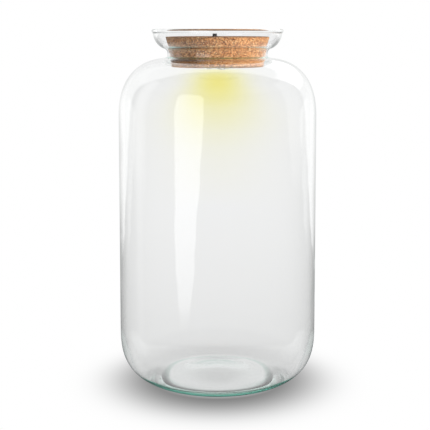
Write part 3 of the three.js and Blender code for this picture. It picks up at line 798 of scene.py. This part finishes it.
recess_top = CORK["recess_top"]
pocket = post(SWITCH["pocket"], recess_top - 1, SWITCH["top"] + 0.3, SWITCH["x"])
bore = post(SWITCH["collar"] + 0.3, SWITCH["top"] - 1, CORK["top"] + 2, SWITCH["x"])
channel = rounded_block(CHANNEL["length"], CHANNEL["width"], recess_top - 1, recess_top + CHANNEL["depth"])
channel = moved(moved(channel, CHANNEL["x"], CHANNEL["y"]), turn=BAY_TURN)
cork_mesh = carve("cork", cork_shape, [pocket, bore, channel])
print("deepest dip:", round(max(dips) / MM, 2), "mm")

# %% [markdown]
# Pressed cork is a patchwork: pale and brown granules about a millimetre across, darker resin between them
# and flecks of nearly black bark. Each granule takes a random tone from a ramp, and a second, finer pattern
# sprinkles the flecks.

# %% Make the cork's material
GRANULES, FLECKS, FINE_GRAIN = 850.0, 1150.0, 1400.0  # to the metre
CORK_TONES = (
    (0.0, from_screen(130, 78, 44)),
    (0.2, from_screen(182, 118, 70)),
    (0.5, from_screen(214, 150, 96)),
    (0.8, from_screen(236, 175, 117)),
    (1.0, from_screen(255, 218, 164)),
)
cork, cork_tree, cork_shader = new_material(
    "pressed_cork", {"Roughness": 0.85, "Metallic": 0.0, "Specular IOR Level": 0.25}
)
cork_place = object_place(cork_tree)
BEND = (0.0006, 0.0006, 0.0006)
bend = {0: cork_place.noise(420.0, 2.0, "Color"), 1: BEND, 2: cork_place}
bent_place = reading(cork_tree, "ShaderNodeVectorMath", "Vector", bend, operation="MULTIPLY_ADD")


def random_part(cell_colour, part):
    """One of the three random numbers that a cell's colour holds."""
    return reading(cork_tree, "ShaderNodeSeparateColor", part, {"Color": cell_colour})


base_tone = random_part(bent_place.cells(GRANULES, "Color"), 0).ramp(CORK_TONES)
joints = bent_place.cells(GRANULES, "Distance", "DISTANCE_TO_EDGE")
grain = cork_place.noise(FINE_GRAIN, 3.0)
fleck = random_part(bent_place.cells(FLECKS, "Color"), 1) < 0.19
shade = (grain * 0.9 + 0.55) * ((joints.rise(0.0, 0.12) * 0.4 + 0.6) * (fleck * -0.62 + 1.0))
cork_normal = (grain * 0.35 + joints.rise(0.0, 0.2)).bumps(0.6, 0.0004)
feed(cork_shader, {"Base Color": base_tone.times_each(shade), "Normal": cork_normal})
link_piece("cork_stopper", cork_mesh, cork, sharp=50)

# %% [markdown]
# ## The lamp plate
# A milky moulded disc closes the recess. Its holes are the ones that the close picture shows: one for the
# leads, a round one and a slot beside the light board, a small vent, and three for the screws.

# %% Make the lamp plate
PLATE = {"radius": 34.4, "bottom": 388.4, "top": 390.8, "edge": 0.4, "rim": 1.7, "rim_sink": 0.25}
LEAD_HOLE = (-0.65, -16.3, 1.9)  # x, y, radius
ROUND_HOLES = (LEAD_HOLE, (-9.1, -18.9, 0.75), (-8.8, 17.9, 1.5))
SLOT = {"length": 4.6, "width": 2.2, "edge": 1.09, "x": -3.4, "y": 19.5, "turn": -42}
SCREW_HOLE = 1.3
SCREW_REACH = 30.6
SCREW_TURNS = [math.radians(angle) for angle in (-76, 154, 58)]
SCREW_PLACES = [(SCREW_REACH * math.cos(turn), SCREW_REACH * math.sin(turn)) for turn in SCREW_TURNS]
bottom, sunk = PLATE["bottom"], PLATE["bottom"] + PLATE["rim_sink"]
groove = PLATE["radius"] - PLATE["rim"]
plate_profile = [(0, PLATE["top"]), (PLATE["radius"], PLATE["top"])]
plate_profile += soft_edge(PLATE["radius"], bottom + PLATE["edge"], PLATE["edge"], 0, -90, 6)
plate_profile += [(groove + 0.15, bottom), (groove, sunk), (groove - 0.3, sunk), (groove - 0.45, bottom)]
plate_profile += [(groove * i / 6, bottom) for i in (5, 4, 3, 2, 1, 0)]

low, high = bottom - 1, PLATE["top"] + 1
plate_cutters = [post(radius, low, high, x, y, 40) for x, y, radius in ROUND_HOLES]
plate_cutters += [post(SCREW_HOLE, low, high, x, y, 32) for x, y in SCREW_PLACES]
slot_cutter = rounded_block(SLOT["length"], SLOT["width"], low, high)
upright = [e for e in slot_cutter.edges if abs(e.verts[0].co.z - e.verts[1].co.z) > 1e-4]
bmesh.ops.bevel(slot_cutter, geom=upright, offset=SLOT["edge"] * MM, segments=8, profile=0.5, affect="EDGES")
plate_cutters.append(moved(slot_cutter, SLOT["x"], SLOT["y"], SLOT["turn"]))
plate_mesh = carve("lamp_plate", turned_bmesh(plate_profile, 160), plate_cutters)
print("plate holes:", len(plate_cutters))

# %% [markdown]
# Milky plastic lets light in a little way and scatters it, so its shader has some subsurface light. Its tone
# is cloudy, with a fine speckle over it.

# %% Make the milky plastic
MILKY_TONES = (
    (0.3, from_screen(196, 196, 190)),
    (0.55, from_screen(226, 226, 221)),
    (0.8, from_screen(246, 246, 242)),
)
milky, milky_tree, milky_shader = new_material(
    "milky_plastic",
    {"Roughness": 0.38, "Metallic": 0.0, "Subsurface Weight": 0.3, "Subsurface Scale": 0.002, "IOR": 1.46},
)
milky_place = object_place(milky_tree)
cloud, speckle = milky_place.noise(90.0, 3.0), milky_place.noise(1500.0, 1.0)
mottle = speckle * 0.4 + (cloud * 0.5 + 0.1)
feed(milky_shader, {"Base Color": mottle.ramp(MILKY_TONES), "Normal": speckle.bumps(0.25, 0.0002)})
link_piece("lamp_plate", plate_mesh, milky, sharp=40)

# %% [markdown]
# ## Shared finish for moulded and metal parts
# Moulded plastic, plated metal and wire skin all vary a little in tone and gloss. One node group does this
# for all of them: it takes a tone, how strongly the tone varies, how fine the grain is, how far the grain is
# drawn out along each axis and how much gloss is lost, and gives a colour, a roughness and a height.

# %% Build the grain group
GRAIN_SOCKETS = (
    ("Tone", "NodeSocketColor", "INPUT"),
    ("Variation", "NodeSocketFloat", "INPUT"),
    ("Fineness", "NodeSocketFloat", "INPUT"),
    ("Stretch", "NodeSocketVector", "INPUT"),
    ("Gloss Loss", "NodeSocketFloat", "INPUT"),
    ("Colour", "NodeSocketColor", "OUTPUT"),
    ("Roughness", "NodeSocketFloat", "OUTPUT"),
    ("Height", "NodeSocketFloat", "OUTPUT"),
)


def build_grain_group():
    """The node group, with its sockets named."""
    group = bpy.data.node_groups.new("fine_grain", "ShaderNodeTree")
    for name, kind, direction in GRAIN_SOCKETS:
        group.interface.new_socket(name, in_out=direction, socket_type=kind)
    given = [name for name, _, direction in GRAIN_SOCKETS if direction == "INPUT"]
    tone, variation, fineness, stretch, gloss_loss = readings(group, "NodeGroupInput", given)
    spot = object_place(group)
    fine = spot.times_each(stretch).noise(fineness, 3.0)
    coarse = spot.noise(fineness * 0.12, 2.0)
    both = fine + coarse - 1.0
    roughness = (both * 0.25).sum("ADD", gloss_loss, clamp=True)
    put = {"Colour": tone.times_each(both * variation + 1.0), "Roughness": roughness, "Height": fine}
    readings(group, "NodeGroupOutput", [], put)
    return group


GRAIN = build_grain_group()
print("grain nodes:", len(GRAIN.nodes))

# %% Mix the finishes
def grained_material(name, tone, roughness, variation, fineness, stretch=(1, 1, 1), depth=0.00005, **plain):
    """A material with the shared grain; plain holds the shader's own single values."""
    inputs = {"Metallic": 0.0} | {key.replace("_", " "): value for key, value in plain.items()}
    material, tree, shader = new_material(name, inputs)
    group_inputs = {
        "Tone": (*from_screen(*tone), 1),
        "Variation": variation,
        "Fineness": fineness,
        "Stretch": stretch,
        "Gloss Loss": roughness,
    }
    group = tree.nodes.new("ShaderNodeGroup")
    group.node_tree = GRAIN
    feed(group, group_inputs)
    colour, rough, height = (Reading(tree, group.outputs[name]) for name in ("Colour", "Roughness", "Height"))
    feed(shader, {"Base Color": colour, "Roughness": rough, "Normal": height.bumps(0.5, depth)})
    return material


bronze = grained_material("bronzed_steel", (122, 76, 44), 0.38, 0.5, 900, Metallic=0.85)
tinned = grained_material("tinned_copper", (190, 186, 178), 0.3, 0.35, 1200, Metallic=0.9)
solder = grained_material("flux_browned_solder", (132, 92, 58), 0.35, 0.7, 1500, Metallic=0.6)
lead_skin = grained_material("wire_skin", (216, 215, 210), 0.3, 0.12, 700, Coat_Weight=0.2)
package_white = grained_material("package_white", (240, 238, 230), 0.4, 0.08, 1800)
ceramic = grained_material("chip_ceramic", (96, 92, 88), 0.55, 0.3, 2400)
black_plastic = grained_material("black_plastic", (26, 24, 24), 0.42, 0.3, 1100)
white_plastic = grained_material("housing_plastic", (222, 222, 218), 0.45, 0.1, 600)
nickel = grained_material("nickelled_spring", (168, 170, 172), 0.28, 0.3, 500, (1, 1, 0.05), Metallic=1.0)
sleeve = grained_material("cell_sleeve", (58, 72, 86), 0.3, 0.15, 400, Coat_Weight=0.4)
print("finishes:", len(bpy.data.materials))

# %% [markdown]
# ## What the lamp plate carries
# Three bronzed screws hold the plate. Their heads are turned with a low dome and a cross is carved into each.
# The thread is a row of rings and no helix, because it is hidden in the plate and its boss.

# %% Make the screws
HEAD_TOP, HEAD_LOW = PLATE["bottom"] - 0.3, PLATE["bottom"] - 1.4
THREAD = {"core": 0.8, "crest": 1.0, "start": 0.9, "pitch": 0.5, "turns": 12}
CROSS = (2.4, 0.55)


def screw_shape():
    """A screw about the Z axis, its head down."""
    outline = [(0, HEAD_LOW), (0.5, HEAD_LOW + 0.01), (1.0, HEAD_LOW + 0.07), (1.4, HEAD_LOW + 0.2)]
    outline += [(1.65, HEAD_LOW + 0.4), (1.78, HEAD_LOW + 0.65), (1.8, HEAD_LOW + 0.8), (1.8, HEAD_TOP)]
    outline += [(THREAD["crest"], HEAD_TOP)]
    for i in range(THREAD["turns"]):
        z = HEAD_TOP + THREAD["start"] + i * THREAD["pitch"]
        outline += [(THREAD["core"], z), (THREAD["crest"], z + THREAD["pitch"] / 2)]
    return turned_bmesh(outline + [(THREAD["core"], HEAD_TOP + 7.2), (0, HEAD_TOP + 8)], 32)


for i, (x, y) in enumerate(SCREW_PLACES):
    name = f"plate_screw_{i + 1}"
    cross = [rounded_block(*size, HEAD_LOW - 1, HEAD_LOW + 0.6) for size in (CROSS, CROSS[::-1])]
    screw_mesh = carve(name, screw_shape(), cross)
    screw_mesh.transform(Matrix.Translation((x * MM, y * MM, 0)) @ Matrix.Rotation(0.7 * i, 4, "Z"))
    link_piece(name, screw_mesh, bronze, sharp=35)

# %% [markdown]
# ## The light board
# It is a small white lacquered board, turned a few degrees on the plate, with bare brown edges where it was
# sawn out of its sheet. A faint beige patch, one printed line and two traces under the lacquer are soft
# oblongs, laid over the lacquer's tone one after another.

# %% Make the board's lacquer
BOARD = {
    "length": 31, "width": 20.4, "thickness": 1.8, "edge": 0.18, "x": 0, "y": -0.8, "turn": 5, "gap": 0.3,
}
LACQUER_TONES = ((0.3, from_screen(240, 238, 232)), (0.7, from_screen(252, 251, 247)))
MARKS = (  # x, y, half length, half width, soft edge, share, tone
    (-1.0, 5.9, 2.4, 1.9, 1.5, 0.55, (216, 200, 180)),  # faint beige patch
    (-1.0, -3.9, 4.2, 0.28, 0.08, 0.5, (150, 150, 150)),  # printed line
    (0.3, -7.1, 13.4, 0.5, 0.2, 0.25, (222, 222, 214)),  # traces
    (0.3, 0.9, 13.4, 0.5, 0.2, 0.25, (222, 222, 214)),
)
lacquer, lacquer_tree, lacquer_shader = new_material(
    "white_lacquer", {"Metallic": 0.0, "Roughness": 0.3, "Coat Weight": 0.3}
)
board_spot = object_place(lacquer_tree)
board_x, board_y = board_spot.split("XY")


def oblong(x, y, half_length, half_width, soft):
    """1 inside a soft-edged oblong on the board's face, in millimetres, and 0 outside it."""
    inside = 1.0
    for off, half in ((board_x - x * MM, half_length), (board_y - y * MM, half_width)):
        inside = off.sum("ABSOLUTE").rise((half + soft) * MM, (half - soft) * MM) * inside
    return inside


def tint_over(under, share, tone):
    """One colour laid over another, by a share."""
    inputs = {"Factor": share, 6: under, 7: (*from_screen(*tone), 1)}
    return reading(lacquer_tree, "ShaderNodeMix", 2, inputs, data_type="RGBA")


lacquer_noise = board_spot.noise(350.0, 2.0)
board_tone = lacquer_noise.ramp(LACQUER_TONES)
for *place_and_size, share, mark_tone in MARKS:
    board_tone = tint_over(board_tone, oblong(*place_and_size) * share, mark_tone)
(facing_down,) = reading(lacquer_tree, "ShaderNodeNewGeometry", "Normal").split("Z")
board_tone = tint_over(board_tone, facing_down.sum("ABSOLUTE").rise(0.75, 0.45), (186, 150, 88))  # sawn edges
feed(lacquer_shader, {"Base Color": board_tone, "Normal": lacquer_noise.bumps(0.3, 0.0001)})

BOARD_FACE = PLATE["bottom"] - BOARD["gap"] - BOARD["thickness"]
board_back = BOARD_FACE + BOARD["thickness"]
board_shape = rounded_block(BOARD["length"], BOARD["width"], BOARD_FACE, board_back, BOARD["edge"], 2)
board_shape = moved(board_shape, BOARD["x"], BOARD["y"], BOARD["turn"])
link_piece("led_board", board_shape, lacquer, sharp=40)

# %% [markdown]
# Each light chip is a white moulded cup filled with clear resin over a yellow phosphor. The phosphor turns
# the chip's blue light to warm white, so it looks yellow. The cup is carved, and the filling is a flat dome
# with a material of its own that gives off a little light.

# %% Make the light chips
LED = {
    "length": 3.5, "width": 2.8, "height": 1.3, "edge": 0.2, "cup": 1.3, "cup_floor": 1.1, "cup_depth": 0.3,
    "lens": 1.08, "lens_top": 0.32, "lens_drop": 0.27,
}
LED_PLACES = ((-8.6, -10.2), (1.6, -9.4), (11.6, -7.1), (-11, 2.1), (9.1, 5.3))
PHOSPHOR_TONES = ((0.3, from_screen(226, 206, 40)), (0.7, from_screen(250, 240, 90)))
CHIP_TOP = BOARD_FACE - 0.1  # where chips meet the solder on the board, which hangs face down
CHIP_LOW = CHIP_TOP - LED["height"]
phosphor, phosphor_tree, phosphor_shader = new_material(
    "yellow_phosphor",
    {"Roughness": 0.25, "Metallic": 0.0, "Emission Color": (1.0, 0.86, 0.22, 1), "Emission Strength": 0.7},
)
feed(phosphor_shader, {"Base Color": object_place(phosphor_tree).noise(2600.0, 2.0).ramp(PHOSPHOR_TONES)})


def add_part(shape, part):
    """Another bmesh put into the shape, its faces in the second material slot."""
    before = len(shape.faces)
    shape.from_mesh(to_mesh("part", part))
    shape.faces.ensure_lookup_table()
    for face in shape.faces[before:]:
        face.material_index = 1


for i, (x, y) in enumerate(LED_PLACES):
    name = f"led_{i + 1}"
    block = rounded_block(LED["length"], LED["width"], CHIP_LOW, CHIP_TOP, LED["edge"])
    cup = [(0, CHIP_LOW - 1), (LED["cup"], CHIP_LOW - 1), (LED["cup"], CHIP_LOW)]
    cup += [(LED["cup_floor"], CHIP_LOW + LED["cup_depth"]), (0, CHIP_LOW + LED["cup_depth"])]
    chip = bmesh.new()
    chip.from_mesh(carve(name, block, [turned_bmesh(cup, 32)]))
    lens_top = CHIP_LOW + LED["lens_top"]
    lens = round_turn((0, lens_top), LED["lens"], LED["lens_drop"], 2, -math.pi / 2, 0, 9)
    add_part(chip, turned_bmesh(lens + [(0, lens_top)], 32))
    piece = link_piece(name, moved(chip, x, y, BOARD["turn"]), package_white, sharp=40)
    piece.data.materials.append(phosphor)

# %% [markdown]
# One tiny resistor sits at the board's edge: a ceramic body with a tinned cap over each end. The two solder
# dots are where the leads end; molten solder draws itself into a low drop that is never quite round.

# %% Make the resistor and the solder
RESISTOR = {"length": 0.84, "width": 1.1, "height": 0.5, "edge": 0.06, "x": 12.8, "y": -0.5}
CAP = {"length": 0.9, "width": 0.3, "height": 0.55, "edge": 0.08, "out": 0.65}


def standing_block(size):
    """A block of a named size on the board's face."""
    return rounded_block(size["length"], size["width"], CHIP_TOP - size["height"], CHIP_TOP, size["edge"], 2)


resistor = standing_block(RESISTOR)
for side in (-1, 1):
    add_part(resistor, moved(standing_block(CAP), 0, side * CAP["out"]))
resistor = moved(resistor, RESISTOR["x"], RESISTOR["y"], BOARD["turn"])
resistor_piece = link_piece("board_resistor", resistor, ceramic, sharp=40)
resistor_piece.data.materials.append(tinned)

SOLDER_PLACES = ((3.3, -14.7), (6.8, -13.4))
DROP = {"radius": 1.1, "height": 0.8, "power": 1.3, "top": PLATE["bottom"] - 0.1}
for i, (x, y) in enumerate(SOLDER_PLACES):
    name = f"solder_dot_{i + 1}"
    drop = [(DROP["radius"] * math.sin(a), DROP["top"] - DROP["height"] * math.cos(a) ** DROP["power"])
            for a in (math.radians(7.5 * k) for k in range(12))]
    drop_shape = turned_bmesh(drop + [(DROP["radius"], DROP["top"]), (0, DROP["top"])], 32)
    for vert in drop_shape.verts:
        vert.co.xy *= 1 + 0.12 * noise.noise(vert.co * 900 + Vector((i, 0, 0))) - 0.06
    link_piece(name, moved(drop_shape, x, y), solder, sharp=60)

# %% [markdown]
# ## Leads
# Three short insulated wires join the battery bay, the switch and the board. They are fixed at both ends.
# Each follows a smooth curve through a few points, and a round section is carried along the curve without
# twisting.

# %% Define how a lead is swept
def smooth_route(points, per_span=12):
    """Points on a centripetal Catmull-Rom curve through the given points."""
    points = [Vector(p) for p in points]
    ends = [2 * points[0] - points[1]] + points + [2 * points[-1] - points[-2]]
    route = []
    for a, b, c, d in zip(ends, ends[1:], ends[2:], ends[3:]):
        t0 = 0.0
        t1 = t0 + max((b - a).length ** 0.5, 1e-6)
        t2 = t1 + max((c - b).length ** 0.5, 1e-6)
        t3 = t2 + max((d - c).length ** 0.5, 1e-6)
        for i in range(per_span):
            t = t1 + (t2 - t1) * i / per_span
            ab = a.lerp(b, (t - t0) / (t1 - t0))
            bc = b.lerp(c, (t - t1) / (t2 - t1))
            cd = c.lerp(d, (t - t2) / (t3 - t2))
            abc = ab.lerp(bc, (t - t0) / (t2 - t0))
            bcd = bc.lerp(cd, (t - t1) / (t3 - t1))
            route.append(abc.lerp(bcd, (t - t1) / (t2 - t1)))
    return route + [points[-1]]


def tube(points, radius, sides=14):
    """A round tube along a route in millimetres, with closed ends."""
    shape = bmesh.new()
    tangent = (points[1] - points[0]).normalized()
    across = tangent.orthogonal().normalized()
    rings = []
    for i, point in enumerate(points):
        after = points[min(i + 1, len(points) - 1)]
        ahead = (after - points[max(i - 1, 0)]).normalized()
        across = tangent.rotation_difference(ahead) @ across
        across = (across - ahead * across.dot(ahead)).normalized()
        tangent = ahead
        other = tangent.cross(across)
        section = lambda a: (point + radius * (math.cos(a) * across + math.sin(a) * other)) * MM
        rings.append(ring_of(shape, sides, section))
    for low_ring, high_ring in zip(rings, rings[1:]):
        for k in range(sides):
            j = (k + 1) % sides
            shape.faces.new((low_ring[k], low_ring[j], high_ring[j], high_ring[k]))
    shape.faces.new(rings[0][::-1])
    shape.faces.new(rings[-1])
    bmesh.ops.recalc_face_normals(shape, faces=shape.faces)
    return shape


# %% Route and sweep the leads
def in_bay(along, across, z):
    """A point of the battery bay's own plan, as a point of the object."""
    return Matrix.Rotation(math.radians(BAY_TURN), 3, "Z") @ Vector((along, across, z))


def on_plate(x, y, drop):
    """A point below the plate's bottom by a drop."""
    return (x, y, PLATE["bottom"] - drop)


LEAD_RADIUS = 0.45
channel_z = CORK["recess_top"] + 1.45
under_cells = PLATE["top"] + 0.95
switch_side = SWITCH["x"] + SWITCH["size"] / 2 + 0.3
hole_x, hole_y, _ = LEAD_HOLE
(inner_x, inner_y), (outer_x, outer_y) = SOLDER_PLACES
LEADS = {
    "lead_plus": [
        in_bay(22.6, -10.8, under_cells), in_bay(26.4, -10.6, under_cells),
        in_bay(28.4, -8.6, under_cells + 2.4), in_bay(28.8, -6.2, under_cells + 7),
        in_bay(28.4, -4.8, under_cells + 12), in_bay(26, -4.2, channel_z),
        in_bay(14, -3, channel_z), (switch_side, -2.6, channel_z),
    ],
    "lead_switched": [
        (switch_side, 0.6, channel_z), in_bay(14, -0.6, channel_z), in_bay(26, -1.6, channel_z),
        in_bay(28.7, -2.4, under_cells + 12), in_bay(29.4, -1.6, under_cells + 7),
        in_bay(28.4, 0.4, under_cells + 2.4), in_bay(25.2, -1.4, under_cells), in_bay(15, -10, under_cells),
        (hole_x + 4.4, hole_y + 1.2, under_cells - 0.1), on_plate(hole_x + 1, hole_y - 0.5, -3),
        on_plate(hole_x + 0.2, hole_y - 0.75, -0.8), on_plate(hole_x + 0.2, hole_y - 1, 0.9),
        on_plate(hole_x + 1.6, hole_y - 5, 3), on_plate(hole_x + 5.6, hole_y - 7.4, 4.2),
        on_plate(hole_x + 9.2, hole_y - 4.4, 4), on_plate(outer_x + 1, outer_y - 1.8, 2.6),
        on_plate(outer_x, outer_y, 0.6),
    ],
    "lead_minus": [
        in_bay(-22.6, 10.8, under_cells), in_bay(-12, -2, under_cells),
        (hole_x - 4.4, hole_y + 4.2, under_cells - 0.1), on_plate(hole_x - 1, hole_y + 0.8, -3),
        on_plate(hole_x - 0.2, hole_y + 0.75, -0.8), on_plate(hole_x - 0.1, hole_y + 0.6, 0.9),
        on_plate(hole_x + 1, hole_y - 0.8, 2.6), on_plate(hole_x + 2.9, hole_y - 1, 3.2),
        on_plate(inner_x + 0.2, inner_y - 0.9, 2.5), on_plate(inner_x, inner_y, 0.6),
    ],
}
for name, points in LEADS.items():
    link_piece(name, tube(smooth_route(points), LEAD_RADIUS), lead_skin, sharp=60)

# %% [markdown]
# ## Switch and button
# A small moulded push switch sits in a pocket of the cork. Its collar comes up through the cork and guides
# the button, which is the one part that moves, by a millimetre and a half. The block and the turned collar
# are joined and bored in one step, and the button's top is turned slightly hollow, as a finger likes it.

# %% Make the switch
COLLAR_TOP, COLLAR_EDGE = SWITCH["collar_top"], 0.3
GUIDE = {"radius": 2.9, "low": 409.4, "mouth": 3.15, "mouth_low": SWITCH["collar_top"] - 0.25}
switch_block = rounded_block(SWITCH["size"], SWITCH["size"], CORK["recess_top"], SWITCH["top"], 0.4)
collar = [(0, SWITCH["top"] - 1), (SWITCH["collar"], SWITCH["top"] - 1)]
collar += soft_edge(SWITCH["collar"], COLLAR_TOP - COLLAR_EDGE, COLLAR_EDGE, 0, 90, 6) + [(0, COLLAR_TOP)]
guide = [(0, GUIDE["low"]), (GUIDE["radius"], GUIDE["low"]), (GUIDE["radius"], GUIDE["mouth_low"])]
guide += [(GUIDE["mouth"], COLLAR_TOP + 0.01), (GUIDE["mouth"], COLLAR_TOP + 1), (0, COLLAR_TOP + 1)]
switch_mesh = carve("switch_body", switch_block, [turned_bmesh(guide, 48)], [turned_bmesh(collar, 48)])
switch_mesh.transform(Matrix.Translation((SWITCH["x"] * MM, 0, 0)))
link_piece("switch_body", switch_mesh, black_plastic, sharp=40)

# %% Make the button
radius, low, high, edge, low_edge = BUTTON.values()
button = [(0, low), (radius - low_edge, low), (radius, low + low_edge)]
button += soft_edge(radius, high - edge, edge, 0, 90, 6)
button += [(1.8, high - 0.08), (1.2, high - 0.2), (0.6, high - 0.27), (0, high - 0.3)]
button_shape = moved(turned_bmesh(button, 48), SWITCH["x"])
link_piece("switch_button", button_shape, black_plastic, sharp=50, body="button")

# %% [markdown]
# ## What stays from the CAD
# The housing, the cells and the contacts are inside the cork, and their CAD shapes are right as they are.
# They only get their finishes.

# %% Dress the hidden CAD nodes
HIDDEN = {"lamp_housing": white_plastic, "contact_plus": nickel, "contact_minus": nickel}
HIDDEN |= {f"contact_link_{i}": nickel for i in (1, 2)}
HIDDEN |= {f"battery_cell_{i}": sleeve for i in (1, 2, 3)}
for node, finish in HIDDEN.items():
    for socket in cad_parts[node].material_slots:
        socket.material = finish
print("CAD nodes dressed:", len(HIDDEN))

# %% [markdown]
# ## Light on the cork
# The soft boxes are part of the world. The cork also catches a warm lamp from the front right, which is why
# its left end is darker in the picture. The lamp is kept out of reflections, and the glass doesn't show it.

# %% Place the lamp for the cork
LAMP = {"place": (1.45, -0.84, 0.7), "size": 0.5, "power": 35.0, "colour": (1.0, 0.94, 0.88)}
lamp_data = bpy.data.lights.new("front_lamp", "AREA")
lamp_data.size, lamp_data.energy, lamp_data.color = LAMP["size"], LAMP["power"], LAMP["colour"]
lamp = bpy.data.objects.new("front_lamp", lamp_data)
lamp.location = LAMP["place"]
aim = Vector((0, 0, CORK["top"] * MM)) - lamp.location
lamp.rotation_euler = aim.to_track_quat("-Z", "Y").to_euler()
lamp.visible_glossy = lamp.visible_transmission = False
scene.collection.objects.link(lamp)
print("lamp at", LAMP["place"], "m")
